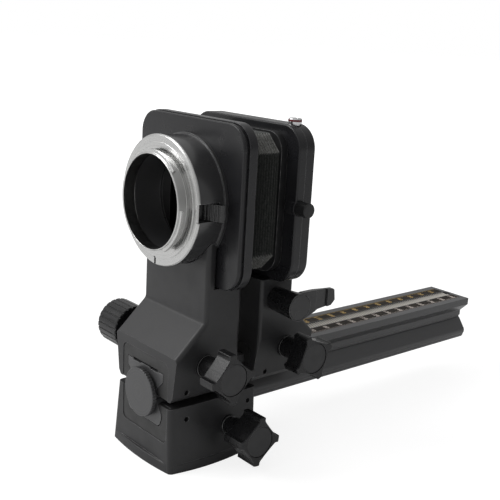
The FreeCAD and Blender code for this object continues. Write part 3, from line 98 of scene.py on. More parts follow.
# The scales: (name, side, where it counts from, which way). The right one counts away from the camera's
# end, and the left one back from the lens's end.
SCALES = (("right", 1, 8.3 * MM, 1), ("left", -1, 205.2 * MM, -1))
FIGURE_STEP = 10                # millimetres from one figure to the next
FIGURE_COUNT = 22
STRIP_MARGIN = 1 * MM           # bare strip at each end
FIGURE_MARGIN = 2 * MM          # further in than that, at least, lies a figure's middle
DIGIT_SHARE = 0.7               # a digit's height, of its font's size
STROKE_GAIN = 0.09 * MM         # how much fatter than the font's the digits' strokes are
PAINT_LIFT = 0.015 * MM         # the middle of the paint, above the strip
PAINT_THICK = 0.04 * MM
WORN_PAINT = 0.72               # the code of thin paint, of fresh paint's
MARK_LENGTH = 0.8 * MM
MARK_INSET = 0.3 * MM

# The stage: the floor's half width, its glow near the object and far off, the lamp, the way to the room's
# bright side, and how well a direction agrees with that way in the room's darkest and brightest parts.
FLOOR_HALF = 12.0
GLOW_STRENGTH = 1.32
GLOW_NEAR_SHARE = 0.62
GLOW_NEAR = 0.3
GLOW_FAR = 1.0
LAMP_PLACE = (-0.75, -1.0, 1.15)
LAMP_AIM = (0, 0.05, 0.08)
LAMP_SIZE = 0.9
BRIGHT_WAY = (-0.45, -0.45, 0.77)
DARKEST = -0.5
BRIGHTEST = 0.9

# The camera: where it stands, how it is turned in degrees, and its focal length and shift in pixels.
CAMERA_PLACE = (0.31381, -0.23538, 0.19877)
CAMERA_AZIMUTH = 49.12
CAMERA_ELEVATION = 13.9
CAMERA_ROLL = 3.23
PICTURE_PIXELS = 500
FOCAL_PIXELS = 861.0
SHIFT_PIXELS = (0.15, -2.12)
SENSOR_WIDTH = 36


# ---------------------------------------------------------------- small helpers
def linear(code):
    """An sRGB hex code as a linear colour with alpha 1."""
    parts = [int(code[i:i + 2], 16) / 255 for i in (1, 3, 5)]
    return [c / 12.92 if c <= 0.04045 else ((c + 0.055) / 1.055) ** 2.4 for c in parts] + [1.0]


def add(tree, kind, values=None, links=None, **settings):
    """One node: its settings, the values on its inputs, and the outputs that feed its inputs."""
    node = tree.nodes.new(kind)
    for name, value in settings.items():
        setattr(node, name, value)
    for name, value in (values or {}).items():
        node.inputs[name].default_value = value
    for name, output in (links or {}).items():
        tree.links.new(output, node.inputs[name])
    return node


def body_mesh(name, vertices, faces, material=None):
    """A new piece from points and faces."""
    mesh = bpy.data.meshes.new(name)
    mesh.from_pydata(vertices, [], faces)
    piece = bpy.data.objects.new(name, mesh)
    bpy.context.scene.collection.objects.link(piece)
    if material:
        mesh.materials.append(material)
    return piece


def dress(material, *names):
    """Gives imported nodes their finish."""
    for name in names:
        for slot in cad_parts[name].material_slots:
            slot.material = material


def settled(piece):
    """Turns a piece with live modifiers into a plain mesh."""
    bpy.context.view_layer.update()
    evaluated = piece.evaluated_get(bpy.context.evaluated_depsgraph_get())
    mesh = bpy.data.meshes.new_from_object(evaluated)
    piece.modifiers.clear()
    old, piece.data = piece.data, mesh
    bpy.data.meshes.remove(old)
    return piece


def run_tree(piece, tree, values):
    """Runs a Geometry Nodes tree on a piece with values for its named inputs, and keeps the mesh."""
    modifier = piece.modifiers.new(tree.name, "NODES")
    modifier.node_group = tree
    sockets = {item.name: item.identifier for item in tree.interface.items_tree if item.in_out == "INPUT"}
    for name, value in values.items():
        modifier[sockets[name]] = value
    return settled(piece)


# ---------------------------------------------------------------- patterns and shader parts
def start_finish(name, colour, roughness, metallic=0.0, specular=0.5):
    """A new material with its shader's own values set, and its tree."""
    material = bpy.data.materials.new(name)
    material.use_nodes = True
    tree = material.node_tree
    tree.nodes.clear()
    shader = add(tree, "ShaderNodeBsdfPrincipled", {"Base Color": linear(colour), "Roughness": roughness,
                                                    "Metallic": metallic, "Specular IOR Level": specular})
    add(tree, "ShaderNodeOutputMaterial", links={"Surface": shader.outputs["BSDF"]})
    return material, tree, shader


def first_of(tree, kind):
    """A tree's first node of a kind."""
    return next(node for node in tree.nodes if node.type == kind)


def place_on(tree, centre=(0, 0, 0), stretch=(1, 1, 1)):
    """Object coordinates, measured from a point and stretched."""
    where = add(tree, "ShaderNodeTexCoord")
    shift = [-c * s for c, s in zip(centre, stretch)]
    return add(tree, "ShaderNodeMapping", {"Location": shift, "Scale": stretch},
               {"Vector": where.outputs["Object"]}).outputs["Vector"]


def across_axis(tree, centre, axis):
    """Object coordinates from a centre, flattened along an axis, and their distance from that axis."""
    flat = place_on(tree, centre, [0.0 if a == axis else 1.0 for a in "xyz"])
    distance = add(tree, "ShaderNodeVectorMath", links={0: flat}, operation="LENGTH").outputs["Value"]
    return flat, distance


def grain(tree, size_mm, stretch=(1, 1, 1), detail=2.0):
    """Noise over a piece, with lumps about size_mm across, or drawn out into lines by a stretch."""
    return add(tree, "ShaderNodeTexNoise", {"Scale": 1.0 / (size_mm * MM), "Detail": detail},
               {"Vector": place_on(tree, stretch=stretch)}).outputs["Fac"]


def patches(tree, size_mm, low, high, span=SOFT_SPAN, detail=2.0):
    """Uneven patches about size_mm across that run from one value to another."""
    return add(tree, "ShaderNodeMapRange", {"From Min": span[0], "From Max": span[1], "To Min": low,
                                            "To Max": high},
               {"Value": grain(tree, size_mm, detail=detail)}).outputs["Result"]


def shaped(tree, value, mottle, power):
    """A 0 to 1 value bent towards 0 by a power, and broken up by a mottle."""
    bent = add(tree, "ShaderNodeMath", {1: power}, {0: value}, operation="POWER").outputs[0]
    return add(tree, "ShaderNodeMath", links={0: bent, 1: mottle}, operation="MULTIPLY").outputs[0]


def blend_colour(tree, shader, factor, one, other):
    """Mixes two colours into the shader's base colour by a factor."""
    mix = add(tree, "ShaderNodeMix", {6: linear(one), 7: linear(other)}, {0: factor}, data_type="RGBA")
    tree.links.new(mix.outputs[2], shader.inputs["Base Color"])


def tint_over(tree, shader, factor, colour):
    """Lays one more colour over the shader's base colour by a factor."""
    base = shader.inputs["Base Color"]
    mix = add(tree, "ShaderNodeMix", {7: linear(colour)}, {0: factor, 6: base.links[0].from_socket},
              data_type="RGBA")
    tree.links.new(mix.outputs[2], base)


def sheen(tree, shader, pattern, roughness, swing):
    """Lets the roughness swing about its value with a pattern."""
    swung = add(tree, "ShaderNodeMapRange", {"From Min": SOFT_SPAN[0], "From Max": SOFT_SPAN[1],
                                             "To Min": roughness - swing, "To Max": roughness + swing},
                {"Value": pattern})
    tree.links.new(swung.outputs["Result"], shader.inputs["Roughness"])


def relief(tree, shader, height, depth_mm, normal):
    """Bumps a surface by a height pattern that is depth_mm deep."""
    bump = add(tree, "ShaderNodeBump", {"Strength": 1.0, "Distance": depth_mm * MM},
               {"Height": height, "Normal": normal})
    tree.links.new(bump.outputs["Normal"], shader.inputs["Normal"])


def edges_worn_and_highlit(tree, shader, colour, edge_colour, edge_mm, patch_mm):
    """Rounds the edges and paints them lighter, in patches as long as the last argument: wear and a painted
    highlight.
    """
    bevel = add(tree, "ShaderNodeBevel", {"Radius": edge_mm * MM}, samples=BEVEL_SAMPLES)
    rounded = bevel.outputs["Normal"]
    face = add(tree, "ShaderNodeNewGeometry").outputs["Normal"]
    agree = add(tree, "ShaderNodeVectorMath", links={0: rounded, 1: face}, operation="DOT_PRODUCT")
    near = add(tree, "ShaderNodeMapRange", {"From Min": EDGE_LIGHT_FULL, "From Max": EDGE_LIGHT_START, "To Min": 1.0,
                                            "To Max": 0.0}, {"Value": agree.outputs["Value"]})
    broken = patches(tree, patch_mm, 0.25, 1.0)
    amount = add(tree, "ShaderNodeMath", links={0: near.outputs["Result"], 1: broken},
                 operation="MULTIPLY").outputs["Value"]
    # The lighter edge colour is partly worn paint and partly a painted highlight.
    blend_colour(tree, shader, amount, colour, edge_colour)
    return rounded


# ---------------------------------------------------------------- finishes
def enamel(name, colour, edge_colour, roughness, specular, grain_mm, depth_mm, edge_mm):
    """Sprayed satin enamel on a die casting: a fine orange-peel grain, and softly lighter edges, worn and
    painted as a highlight.
    """
    material, tree, shader = start_finish(name, colour, roughness, specular=specular)
    rounded = edges_worn_and_highlit(tree, shader, colour, edge_colour, edge_mm, patch_mm=4.0)
    sheen(tree, shader, grain(tree, 9.0), roughness, 0.05)
    relief(tree, shader, grain(tree, grain_mm, detail=3.0), depth_mm, rounded)
    return material


def moulded(name, colour, edge_colour, roughness, specular, texture_mm, depth_mm, edge_mm=0.35,
            lined=False):
    """Moulded plastic: a faint pebble from the mould, or lines along X where it left the mould."""
    material, tree, shader = start_finish(name, colour, roughness, specular=specular)
    rounded = edges_worn_and_highlit(tree, shader, colour, edge_colour, edge_mm, patch_mm=3.0)
    if lined:
        texture = grain(tree, texture_mm, stretch=(0.02, 1, 1))
    else:
        texture = add(tree, "ShaderNodeTexVoronoi", {"Scale": 1.0 / (texture_mm * MM)},
                      {"Vector": place_on(tree)}, feature="SMOOTH_F1").outputs["Distance"]
    sheen(tree, shader, grain(tree, 5.0), roughness, 0.06)
    relief(tree, shader, texture, depth_mm, rounded)
    return material


def turned(name, colour, edge_colour, roughness, metallic, centre, axis, pitch_mm, depth_mm, specular=0.5):
    """Turned on a lathe: rings of tool marks round the piece's own axis, and crisp edges painted bright,
    partly as a highlight.
    """
    material, tree, shader = start_finish(name, colour, roughness, metallic, specular)
    rounded = edges_worn_and_highlit(tree, shader, colour, edge_colour, edge_mm=0.3, patch_mm=6.0)
    radius = across_axis(tree, centre, axis)[1]
    rings = add(tree, "ShaderNodeTexNoise", {"Scale": 1.0 / (pitch_mm * MM), "Detail": 2.0}, {"W": radius},
                noise_dimensions="1D").outputs["Fac"]
    sheen(tree, shader, rings, roughness, 0.07)
    relief(tree, shader, rings, depth_mm, rounded)
    return material


def drawn(name, colour, edge_colour, roughness, metallic):
    """A drawn or ground bar: faint straight lines along the rail, 0.6 mm apart so that they show."""
    material, tree, shader = start_finish(name, colour, roughness, metallic)
    rounded = edges_worn_and_highlit(tree, shader, colour, edge_colour, edge_mm=0.35, patch_mm=8.0)
    lines = grain(tree, 0.6, stretch=(1, 0.03, 1))
    sheen(tree, shader, lines, roughness, 0.05)
    relief(tree, shader, lines, 0.006, rounded)
    return material


def toothed(name, root_colour, tip_colour, roughness, root_z, tip_z):
    """Milled steel teeth, left bare: painted shade in the roots, a painted highlight on the tips, and fine
    cutter lines.
    """
    material, tree, shader = start_finish(name, tip_colour, roughness, metallic=1.0)
    height = add(tree, "ShaderNodeSeparateXYZ", links={0: place_on(tree)}).outputs["Z"]
    # Painted shade in the roots and a painted highlight on the tips, by height.
    tip_light_share = add(tree, "ShaderNodeMapRange", {"From Min": root_z, "From Max": tip_z}, {"Value": height})
    blend_colour(tree, shader, tip_light_share.outputs["Result"], root_colour, tip_colour)
    lines = grain(tree, 0.3, stretch=(0.05, 1, 1))
    sheen(tree, shader, lines, roughness, 0.06)
    rounded = add(tree, "ShaderNodeBevel", {"Radius": 0.08 * MM}, samples=BEVEL_SAMPLES)
    relief(tree, shader, lines, 0.004, rounded.outputs["Normal"])
    return material


def grip_lever(name, colour, edge_colour, shade_band_colour, start, stop):
    """A moulded lever with painted shade in a band across its wing, between two places along Y."""
    material = moulded(name, colour, edge_colour, roughness=0.3, specular=0.5, texture_mm=0.8,
                       depth_mm=0.003)
    tree = material.node_tree
    along = add(tree, "ShaderNodeSeparateXYZ", links={0: place_on(tree)}).outputs["Y"]
    on_band = add(tree, "ShaderNodeMath", {1: (start + stop) / 2, 2: (stop - start) / 2}, {0: along},
                  operation="COMPARE").outputs[0]
    # Painted shade over the band's facet.
    tint_over(tree, first_of(tree, "BSDF_PRINCIPLED"), on_band, shade_band_colour)
    return material


def plated(name, colour, edge_colour, roughness, centre, bore, rim):
    """Satin chrome turned on a lathe, with matt black paint in two places.

    The bore is painted against reflections, and so is the engraved index line, which runs out to the rim.
    """
    material = turned(name, colour, edge_colour, roughness, 1.0, centre, "y", 0.9, 0.003)
    tree = material.node_tree
    metal = first_of(tree, "BSDF_PRINCIPLED")
    flat, radius = across_axis(tree, centre, "y")
    in_bore = add(tree, "ShaderNodeMath", {1: bore}, {0: radius}, operation="LESS_THAN").outputs[0]
    place = add(tree, "ShaderNodeSeparateXYZ", links={0: flat}).outputs
    on_width = add(tree, "ShaderNodeMath", {1: INDEX_ACROSS, 2: INDEX_HALF_WIDTH}, {0: place["X"]},
                   operation="COMPARE").outputs[0]
    on_length = add(tree, "ShaderNodeMath", {1: -(INDEX_TOP + rim) / 2, 2: (rim - INDEX_TOP) / 2},
                    {0: place["Z"]}, operation="COMPARE").outputs[0]
    line = add(tree, "ShaderNodeMath", links={0: on_width, 1: on_length}, operation="MULTIPLY").outputs[0]
    painted = add(tree, "ShaderNodeMath", links={0: in_bore, 1: line}, operation="MAXIMUM").outputs[0]
    paint = add(tree, "ShaderNodeBsdfPrincipled", {"Base Color": linear("#0e0e0f"), "Roughness": 0.75,
                                                   "Specular IOR Level": 0.2})
    both = add(tree, "ShaderNodeMixShader", links={0: painted, 1: metal.outputs[0], 2: paint.outputs[0]})
    tree.links.new(both.outputs[0], first_of(tree, "OUTPUT_MATERIAL").inputs["Surface"])
    return material


def etched_strip(name, colour, mottle):
    """An anodised scale strip, gone brown in the light: clouded in patches a few millimetres across."""
    material, tree, shader = start_finish(name, colour, roughness=0.6, specular=0.12)
    clouds = patches(tree, 2.6, 0.0, 1.0, CRISP_SPAN, detail=4.0)
    blend_colour(tree, shader, clouds, colour, mottle)
    rounded = add(tree, "ShaderNodeBevel", {"Radius": 0.25 * MM}, samples=BEVEL_SAMPLES)
    relief(tree, shader, grain(tree, 0.5), 0.006, rounded.outputs["Normal"])
    return material


def leather(name, root_colour, side_tip_highlight, corner_reflection, half_width, half_height, cut, depth):
    """Thin pleated black leather: painted shade in the folds, a painted highlight on their tips,
    and a paler painted reflection on the four cut corners.

    Where a point lies round the light axis tells a corner from a side, and how far out it stands tells a
    tip from a root. A stretch along the axis changes neither.
    """
    material, tree, shader = start_finish(name, root_colour, roughness=0.5, specular=0.35)
    from_axis = place_on(tree, (0, 0, AXIS_Z))
    across = add(tree, "ShaderNodeVectorMath", links={0: from_axis}, operation="ABSOLUTE").outputs[0]
    place = add(tree, "ShaderNodeSeparateXYZ", links={0: across}).outputs
    diagonal = add(tree, "ShaderNodeMath", links={0: place["X"], 1: place["Z"]}, operation="ADD").outputs[0]
    root_share = 1 - depth / half_height
    outs = []
    for value, reach in ((place["X"], half_width), (place["Z"], half_height),
                         (diagonal, half_width + half_height - cut)):
        outs.append(add(tree, "ShaderNodeMapRange", {"From Min": reach * root_share, "From Max": reach},
                        {"Value": value}).outputs["Result"])
    on_side = add(tree, "ShaderNodeMath", links={0: outs[0], 1: outs[1]}, operation="MAXIMUM").outputs[0]
    mottle = patches(tree, 0.7, 0.45, 1.0, CRISP_SPAN, detail=4.0)
    # Painted shade in the folds and a painted highlight on the tips.
    blend_colour(tree, shader, shaped(tree, on_side, mottle, 2.0), root_colour, side_tip_highlight)
    # A painted reflection on the four cut corners.
    past = []
    for ray in ((cut - half_height, 0, half_width), (half_height, 0, cut - half_width)):
        past.append(add(tree, "ShaderNodeVectorMath", {1: ray}, {0: across},
                        operation="DOT_PRODUCT").outputs["Value"])
    least = add(tree, "ShaderNodeMath", links={0: past[0], 1: past[1]}, operation="MINIMUM").outputs[0]
    on_corner = add(tree, "ShaderNodeMath", {1: 0.0}, {0: least}, operation="GREATER_THAN").outputs[0]
    corner_reflection_share = add(tree, "ShaderNodeMath", links={0: shaped(tree, outs[2], mottle, 1.0), 1: on_corner},
               operation="MULTIPLY").outputs[0]
    tint_over(tree, shader, corner_reflection_share, corner_reflection)
    cells = add(tree, "ShaderNodeTexVoronoi", {"Scale": 1.0 / (0.7 * MM)}, {"Vector": place_on(tree)},
                feature="F1").outputs["Distance"]
    rounded = add(tree, "ShaderNodeBevel", {"Radius": 0.12 * MM}, samples=BEVEL_SAMPLES)
    relief(tree, shader, cells, 0.05, rounded.outputs["Normal"])
    return material


def ink(name, colour):
    """Paint filled into an etched mark: flat and slightly chalky, uneven where it has worn thin."""
    material, tree, shader = start_finish(name, colour, roughness=0.7, specular=0.3)
    thin = patches(tree, 0.7, 0.0, 1.0)
    dim = "#%02x%02x%02x" % tuple(int(int(colour[i:i + 2], 16) * WORN_PAINT) for i in (1, 3, 5))
    blend_colour(tree, shader, thin, dim, colour)
    return material


# ---------------------------------------------------------------- settings
def colour_setting(name, what, code):
    """A colour property whose default is an sRGB hex code."""
    return bpy.props.FloatVectorProperty(name=name, description=what, subtype="COLOR", size=3, min=0.0,
                                         max=1.0, default=linear(code)[:3])


def code_of(colour):
    """A linear colour as an sRGB hex code."""
    parts = [12.92 * c if c <= 0.0031308 else 1.055 * c ** (1 / 2.4) - 0.055 for c in colour]
    return "#%02x%02x%02x" % tuple(min(255, max(0, round(c * 255))) for c in parts)


class FinishSettings(bpy.types.PropertyGroup):
    casting: colour_setting("Castings", "Satin enamel on the block and the two standards", "#272728")
    head: colour_setting("Heads", "Enamel on the square heads", "#1c1c1e")
    knob: colour_setting("Knobs", "Moulded plastic of the knobs and levers", "#171718")
    rail: colour_setting("Rail", "Anodised rail", "#414142")
    disc: colour_setting("End disc", "Anodised disc at the rail's near end", "#3c3c3d")
    flange: colour_setting("Mount flange", "Satin chrome of the mount flange", "#bcbcbb")
    leather: colour_setting("Bellows", "Dyed bellows leather", "#101110")


class BellowsSettings(bpy.types.PropertyGroup):
    folds: bpy.props.IntProperty(
        name="Folds", description="Number of folds along the bellows", default=13, min=4, max=40)
    depth: bpy.props.FloatProperty(
        name="Fold depth", description="From a fold's tip to its root", default=4.4 * MM, min=1 * MM,
        max=8 * MM, unit="LENGTH", subtype="DISTANCE")
    chamfer: bpy.props.FloatProperty(
        name="Corner cut", description="Width of the cut across each corner", default=7.8 * MM, min=2 * MM,
        max=15 * MM, unit="LENGTH", subtype="DISTANCE")
    wall: bpy.props.FloatProperty(
        name="Leather thickness", description="Thickness of the leather", default=0.25 * MM, min=0.1 * MM,
        max=1 * MM, unit="LENGTH", subtype="DISTANCE")


class ScaleSettings(bpy.types.PropertyGroup):
    figure: bpy.props.FloatProperty(
        name="Figure height", description="Height of the scale's numbers", default=2.5 * MM, min=1 * MM,
        max=4 * MM, unit="LENGTH", subtype="DISTANCE")
    mark: bpy.props.FloatProperty(
        name="Mark width", description="Width of one millimetre mark", default=0.22 * MM, min=0.1 * MM,
        max=0.5 * MM, unit="LENGTH", subtype="DISTANCE")
    right: colour_setting("Right figures", "Paint in the right-hand scale", "#d8cdc4")
    left: colour_setting("Left figures", "Paint in the left-hand scale", "#d0b070")


class StageSettings(bpy.types.PropertyGroup):
    key: bpy.props.FloatProperty(
        name="Main lamp", description="Power of the large soft lamp", default=15.0, min=0.0, unit="POWER")
    room: bpy.props.FloatProperty(
        name="Room light", description="Light from the room's bright side", default=0.75, min=0.0, max=2.0,
        subtype="FACTOR")
    dark_side: bpy.props.FloatProperty(
        name="Dark side", description="Light from the room's dark side", default=0.3, min=0.0, max=2.0,
        subtype="FACTOR")
    floor: colour_setting("Floor", "Plain pale floor", "#f2f2f2")


# ---------------------------------------------------------------- operators: finishes
class FinishCastings(bpy.types.Operator):
    """Finishes the castings of the block and the standards, with their plates, screws, gibs and bushes"""
    bl_idname = "bellowsunit.finish_castings"
    bl_label = "Finish Castings"

    def execute(self, context):
        colours = context.scene.bellowsunit_finish
        # Die-cast alloy, sprayed and stoved: satin, with a faint orange peel.
        casting = enamel("satin_enamel_on_castings", code_of(colours.casting), "#747475", roughness=0.4,
                         specular=0.36, grain_mm=0.8, depth_mm=0.012, edge_mm=0.5)
        dress(casting, "block_body", "camera_base", "lens_base")
        # Moulded plates let into the castings, a shade duller than the enamel.
        plates = moulded("matt_moulded_end_plates", "#292929", "#3e3e3f", roughness=0.5, specular=0.4,
                         texture_mm=0.7, depth_mm=0.02)
        dress(plates, "block_end_plates", "camera_end_plates", "lens_end_plates")
        # Black oxide on hardened steel: nearly black, oily, with a dull metal glint.
        screws = turned("black_oxide_set_screws", "#18181a", "#4a4a4c", roughness=0.35, metallic=0.6,
                        centre=(0, 0, 0), axis="x", pitch_mm=0.5, depth_mm=0.003)
        dress(screws, "block_gib_screws", "camera_gib_screws", "lens_gib_screws")
        # Sawn and lapped brass strips and bushes: warm yellow, dull from grease.
        brass = drawn("lapped_brass", "#b08d4c", "#d8b878", roughness=0.35, metallic=1.0)
        dress(brass, "block_gib", "camera_gib", "lens_gib", "camera_shaft_bush", "lens_shaft_bush",
              "block_clamp_shoe")
        # Brass turned on a lathe: yellow, with fine rings from the tool.
        bush = turned("turned_brass_bush", "#b9964f", "#e0c283", roughness=0.3, metallic=1.0,
                      centre=(0, 0, 0), axis="z", pitch_mm=0.6, depth_mm=0.004)
        dress(bush, "tripod_bush")
        return {"FINISHED"}


class FinishHeads(bpy.types.Operator):
    """Enamels the square heads and finishes the frames that hold the bellows"""
    bl_idname = "bellowsunit.finish_heads"
    bl_label = "Finish Heads"

    def execute(self, context):
        colours = context.scene.bellowsunit_finish
        # A smoother, glossier enamel than the castings', on edges with a wide round that are painted
        # lighter as a highlight.
        head = enamel("smooth_enamel_on_heads", code_of(colours.head), "#48484a", roughness=0.3,
                      specular=0.35, grain_mm=1.2, depth_mm=0.005, edge_mm=0.8)
        dress(head, "camera_head_near", "camera_head_far", "lens_head_near", "lens_head_far")
        # Moulded frames whose rims are painted pale as a highlight.
        frames = moulded("moulded_bellows_frames", "#161617", "#8c8c8c", roughness=0.45, specular=0.4,
                         texture_mm=0.8, depth_mm=0.006)
        dress(frames, "bellows_rear_frame", "bellows_front_frame")
        return {"FINISHED"}


class FinishKnobs(bpy.types.Operator):
    """Finishes the knobs, their caps, hubs and rings, the lock lever and the release button"""
    bl_idname = "bellowsunit.finish_knobs"
    bl_label = "Finish Knobs"

    def execute(self, context):
        colours = context.scene.bellowsunit_finish
        # Hard black plastic, polished by fingers, with mould lines drawn 0.9 mm apart so that they show.
        knob = moulded("satin_moulded_knobs", code_of(colours.knob), "#6c6c6d", roughness=0.26,
                       specular=0.34, texture_mm=0.9, depth_mm=0.05, edge_mm=0.2, lined=True)
        dress(knob, "block_clamp_knob", "camera_clamp_knob", "lens_clamp_knob", "camera_drive_knob",
              "lens_drive_knob")
        # The same plastic with a faint pebble, and painted shade in a band across its wing.
        wing_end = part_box("head_lock_lever")[1].y
        lever = grip_lever("satin_moulded_lever", code_of(colours.knob), "#6e6e6f", "#101011",
                           wing_end - GRIP_START, wing_end - GRIP_STOP)
        dress(lever, "head_lock_lever")
        # Pressed-in caps, a little duller than the knobs round them.
        cap = moulded("satin_knob_caps", "#232324", "#606061", roughness=0.42, specular=0.4, texture_mm=0.9,
                      depth_mm=0.004)
        dress(cap, "block_clamp_cap", "camera_clamp_cap", "lens_clamp_cap")
        # Moulded plastic, whose rim is painted pale as a highlight.
        button = moulded("grey_release_button", "#1c1c1d", "#b8b8b9", roughness=0.45, specular=0.35,
                         texture_mm=0.9, depth_mm=0.003, edge_mm=0.18)
        dress(button, "lens_release_button")
        # Aluminium rings, anodised black over a fine turned finish.
        ring = turned("black_anodised_rings", "#151516", "#5a5a5b", roughness=0.2, metallic=0.0,
                      centre=(0, 0, 0), axis="x", pitch_mm=0.6, depth_mm=0.002, specular=0.8)
        dress(ring, "block_clamp_ring", "camera_clamp_ring", "lens_clamp_ring")
        # Bright-dipped aluminium, anodised black: it keeps a metal's glint along the top.
        hub = turned("bright_anodised_hubs", "#3c3c3e", "#8a8a8b", roughness=0.18, metallic=0.8,
                     centre=(0, 0, 0), axis="x", pitch_mm=0.6, depth_mm=0.002)
        dress(hub, "camera_clamp_sleeve", "lens_clamp_sleeve", "block_clamp_screw")
        return {"FINISHED"}


class FinishRail(bpy.types.Operator):
    """Finishes the rail, its rack, the scale strips, the end disc and the small steel parts"""
    bl_idname = "bellowsunit.finish_rail"
    bl_label = "Finish Rail"

    def execute(self, context):
        colours = context.scene.bellowsunit_finish
        # Drawn aluminium, anodised black, with a painted highlight along its edges.
        rail = drawn("black_anodised_drawn_rail", code_of(colours.rail), "#8a8a8b", roughness=0.36,
                     metallic=0.0)
        dress(rail, "rail_beam")
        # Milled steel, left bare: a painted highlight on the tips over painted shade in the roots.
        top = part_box("rail_rack")[1].z
        rack = toothed("milled_steel_rack", "#4a4845", "#d8d4cd", 0.36, top - TOOTH_ROOT, top - TOOTH_TIP)
        dress(rack, "rail_rack")
        # Anodised aluminium strips whose dye has gone brown in the light.
        strip = etched_strip("brown_black_scale_strip", "#191510", "#2d261f")
        dress(strip, "scale_strip_right", "scale_strip_left")
        low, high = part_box("rail_end_disc")
        centre = (low + high) / 2
        # Aluminium faced on a lathe and anodised a dark grey: satin, with faint rings.
        disc = turned("grey_anodised_disc", code_of(colours.disc), "#747475", roughness=0.4, metallic=0.0,
                      centre=centre, axis="y", pitch_mm=0.7, depth_mm=0.003)
        dress(disc, "rail_end_disc")
        # Free-cutting steel, turned and left bare.
        steel = turned("turned_steel", "#8f8e8c", "#d8d6d2", roughness=0.32, metallic=1.0, centre=centre,
                       axis="y", pitch_mm=0.5, depth_mm=0.004)
        dress(steel, "rail_end_plug", "camera_pinion", "lens_pinion", "lens_lock_pin", "cable_plunger",
              "aperture_lever", "mount_screws", "lens_mount_screws")
        return {"FINISHED"}


class FinishMounts(bpy.types.Operator):
    """Finishes the camera mount with its drum and lever, the lens mount and the cable release socket"""
    bl_idname = "bellowsunit.finish_mounts"
    bl_label = "Finish Mounts"

    def execute(self, context):
        colours = context.scene.bellowsunit_finish
        axis = (0, 0, AXIS_Z)
        # Satin chrome on turned brass: bright and silky, black inside the bore.
        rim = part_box("mount_flange")[1].x
        flange = plated("satin_chromed_mount", code_of(colours.flange), "#fafaf8", 0.27, axis,
                        rim * BORE_SHARE, rim)
        dress(flange, "mount_flange", "lens_mount_ring")
        # Aluminium turned all over and anodised black, with a soft gleam.
        drum = turned("black_anodised_drum", "#2e2e2f", "#8a8a8c", roughness=0.3, metallic=0.0, centre=axis,
                      axis="y", pitch_mm=0.8, depth_mm=0.002, specular=0.8)
        dress(drum, "camera_drum", "mount_carrier")
        # Moulded plastic, glossy, with the edges of its ribs painted pale as a highlight, in patches.
        lever = moulded("black_mount_lever", "#1a1a1b", "#a4a4a5", roughness=0.28, specular=0.6,
                        texture_mm=0.8, depth_mm=0.003, edge_mm=0.12)
        dress(lever, "mount_lever")
        low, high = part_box("cable_socket")
        # Polished chrome on brass: a bright mirror.
        chrome = turned("chromed_release_socket", "#d9d9da", "#ffffff", roughness=0.12, metallic=1.0,
                        centre=(low + high) / 2, axis="z", pitch_mm=0.8, depth_mm=0.002)
        dress(chrome, "cable_socket")
        # Dark red enamel let flow into the socket's waist: smooth, with a soft shine.
        red = moulded("dark_red_enamel_ring", "#5a1119", "#7c2a30", roughness=0.35, specular=0.5,
                      texture_mm=0.8, depth_mm=0.004)
        dress(red, "cable_socket_ring")
        return {"FINISHED"}


# ---------------------------------------------------------------- operators: new pieces
def new_tree(name, inputs):
    """A Geometry Nodes tree with its named inputs, and the outputs of its input node."""
    tree = bpy.data.node_groups.new(name, "GeometryNodeTree")
    for label, kind in inputs:
        tree.interface.new_socket(name=label, in_out="INPUT", socket_type="NodeSocket" + kind)
    tree.interface.new_socket(name="Geometry", in_out="OUTPUT", socket_type="NodeSocketGeometry")
    return tree, add(tree, "NodeGroupInput").outputs


def finish_tree(tree, given, shape):
    """Ends a tree: the shape as real mesh, with the material that the tree was given."""
    real = add(tree, "GeometryNodeRealizeInstances", links={"Geometry": shape})
    final = add(tree, "GeometryNodeSetMaterial", links={"Geometry": real.outputs[0],
                                                        "Material": given["Material"]})
    add(tree, "NodeGroupOutput", links={"Geometry": final.outputs[0]})
    return tree


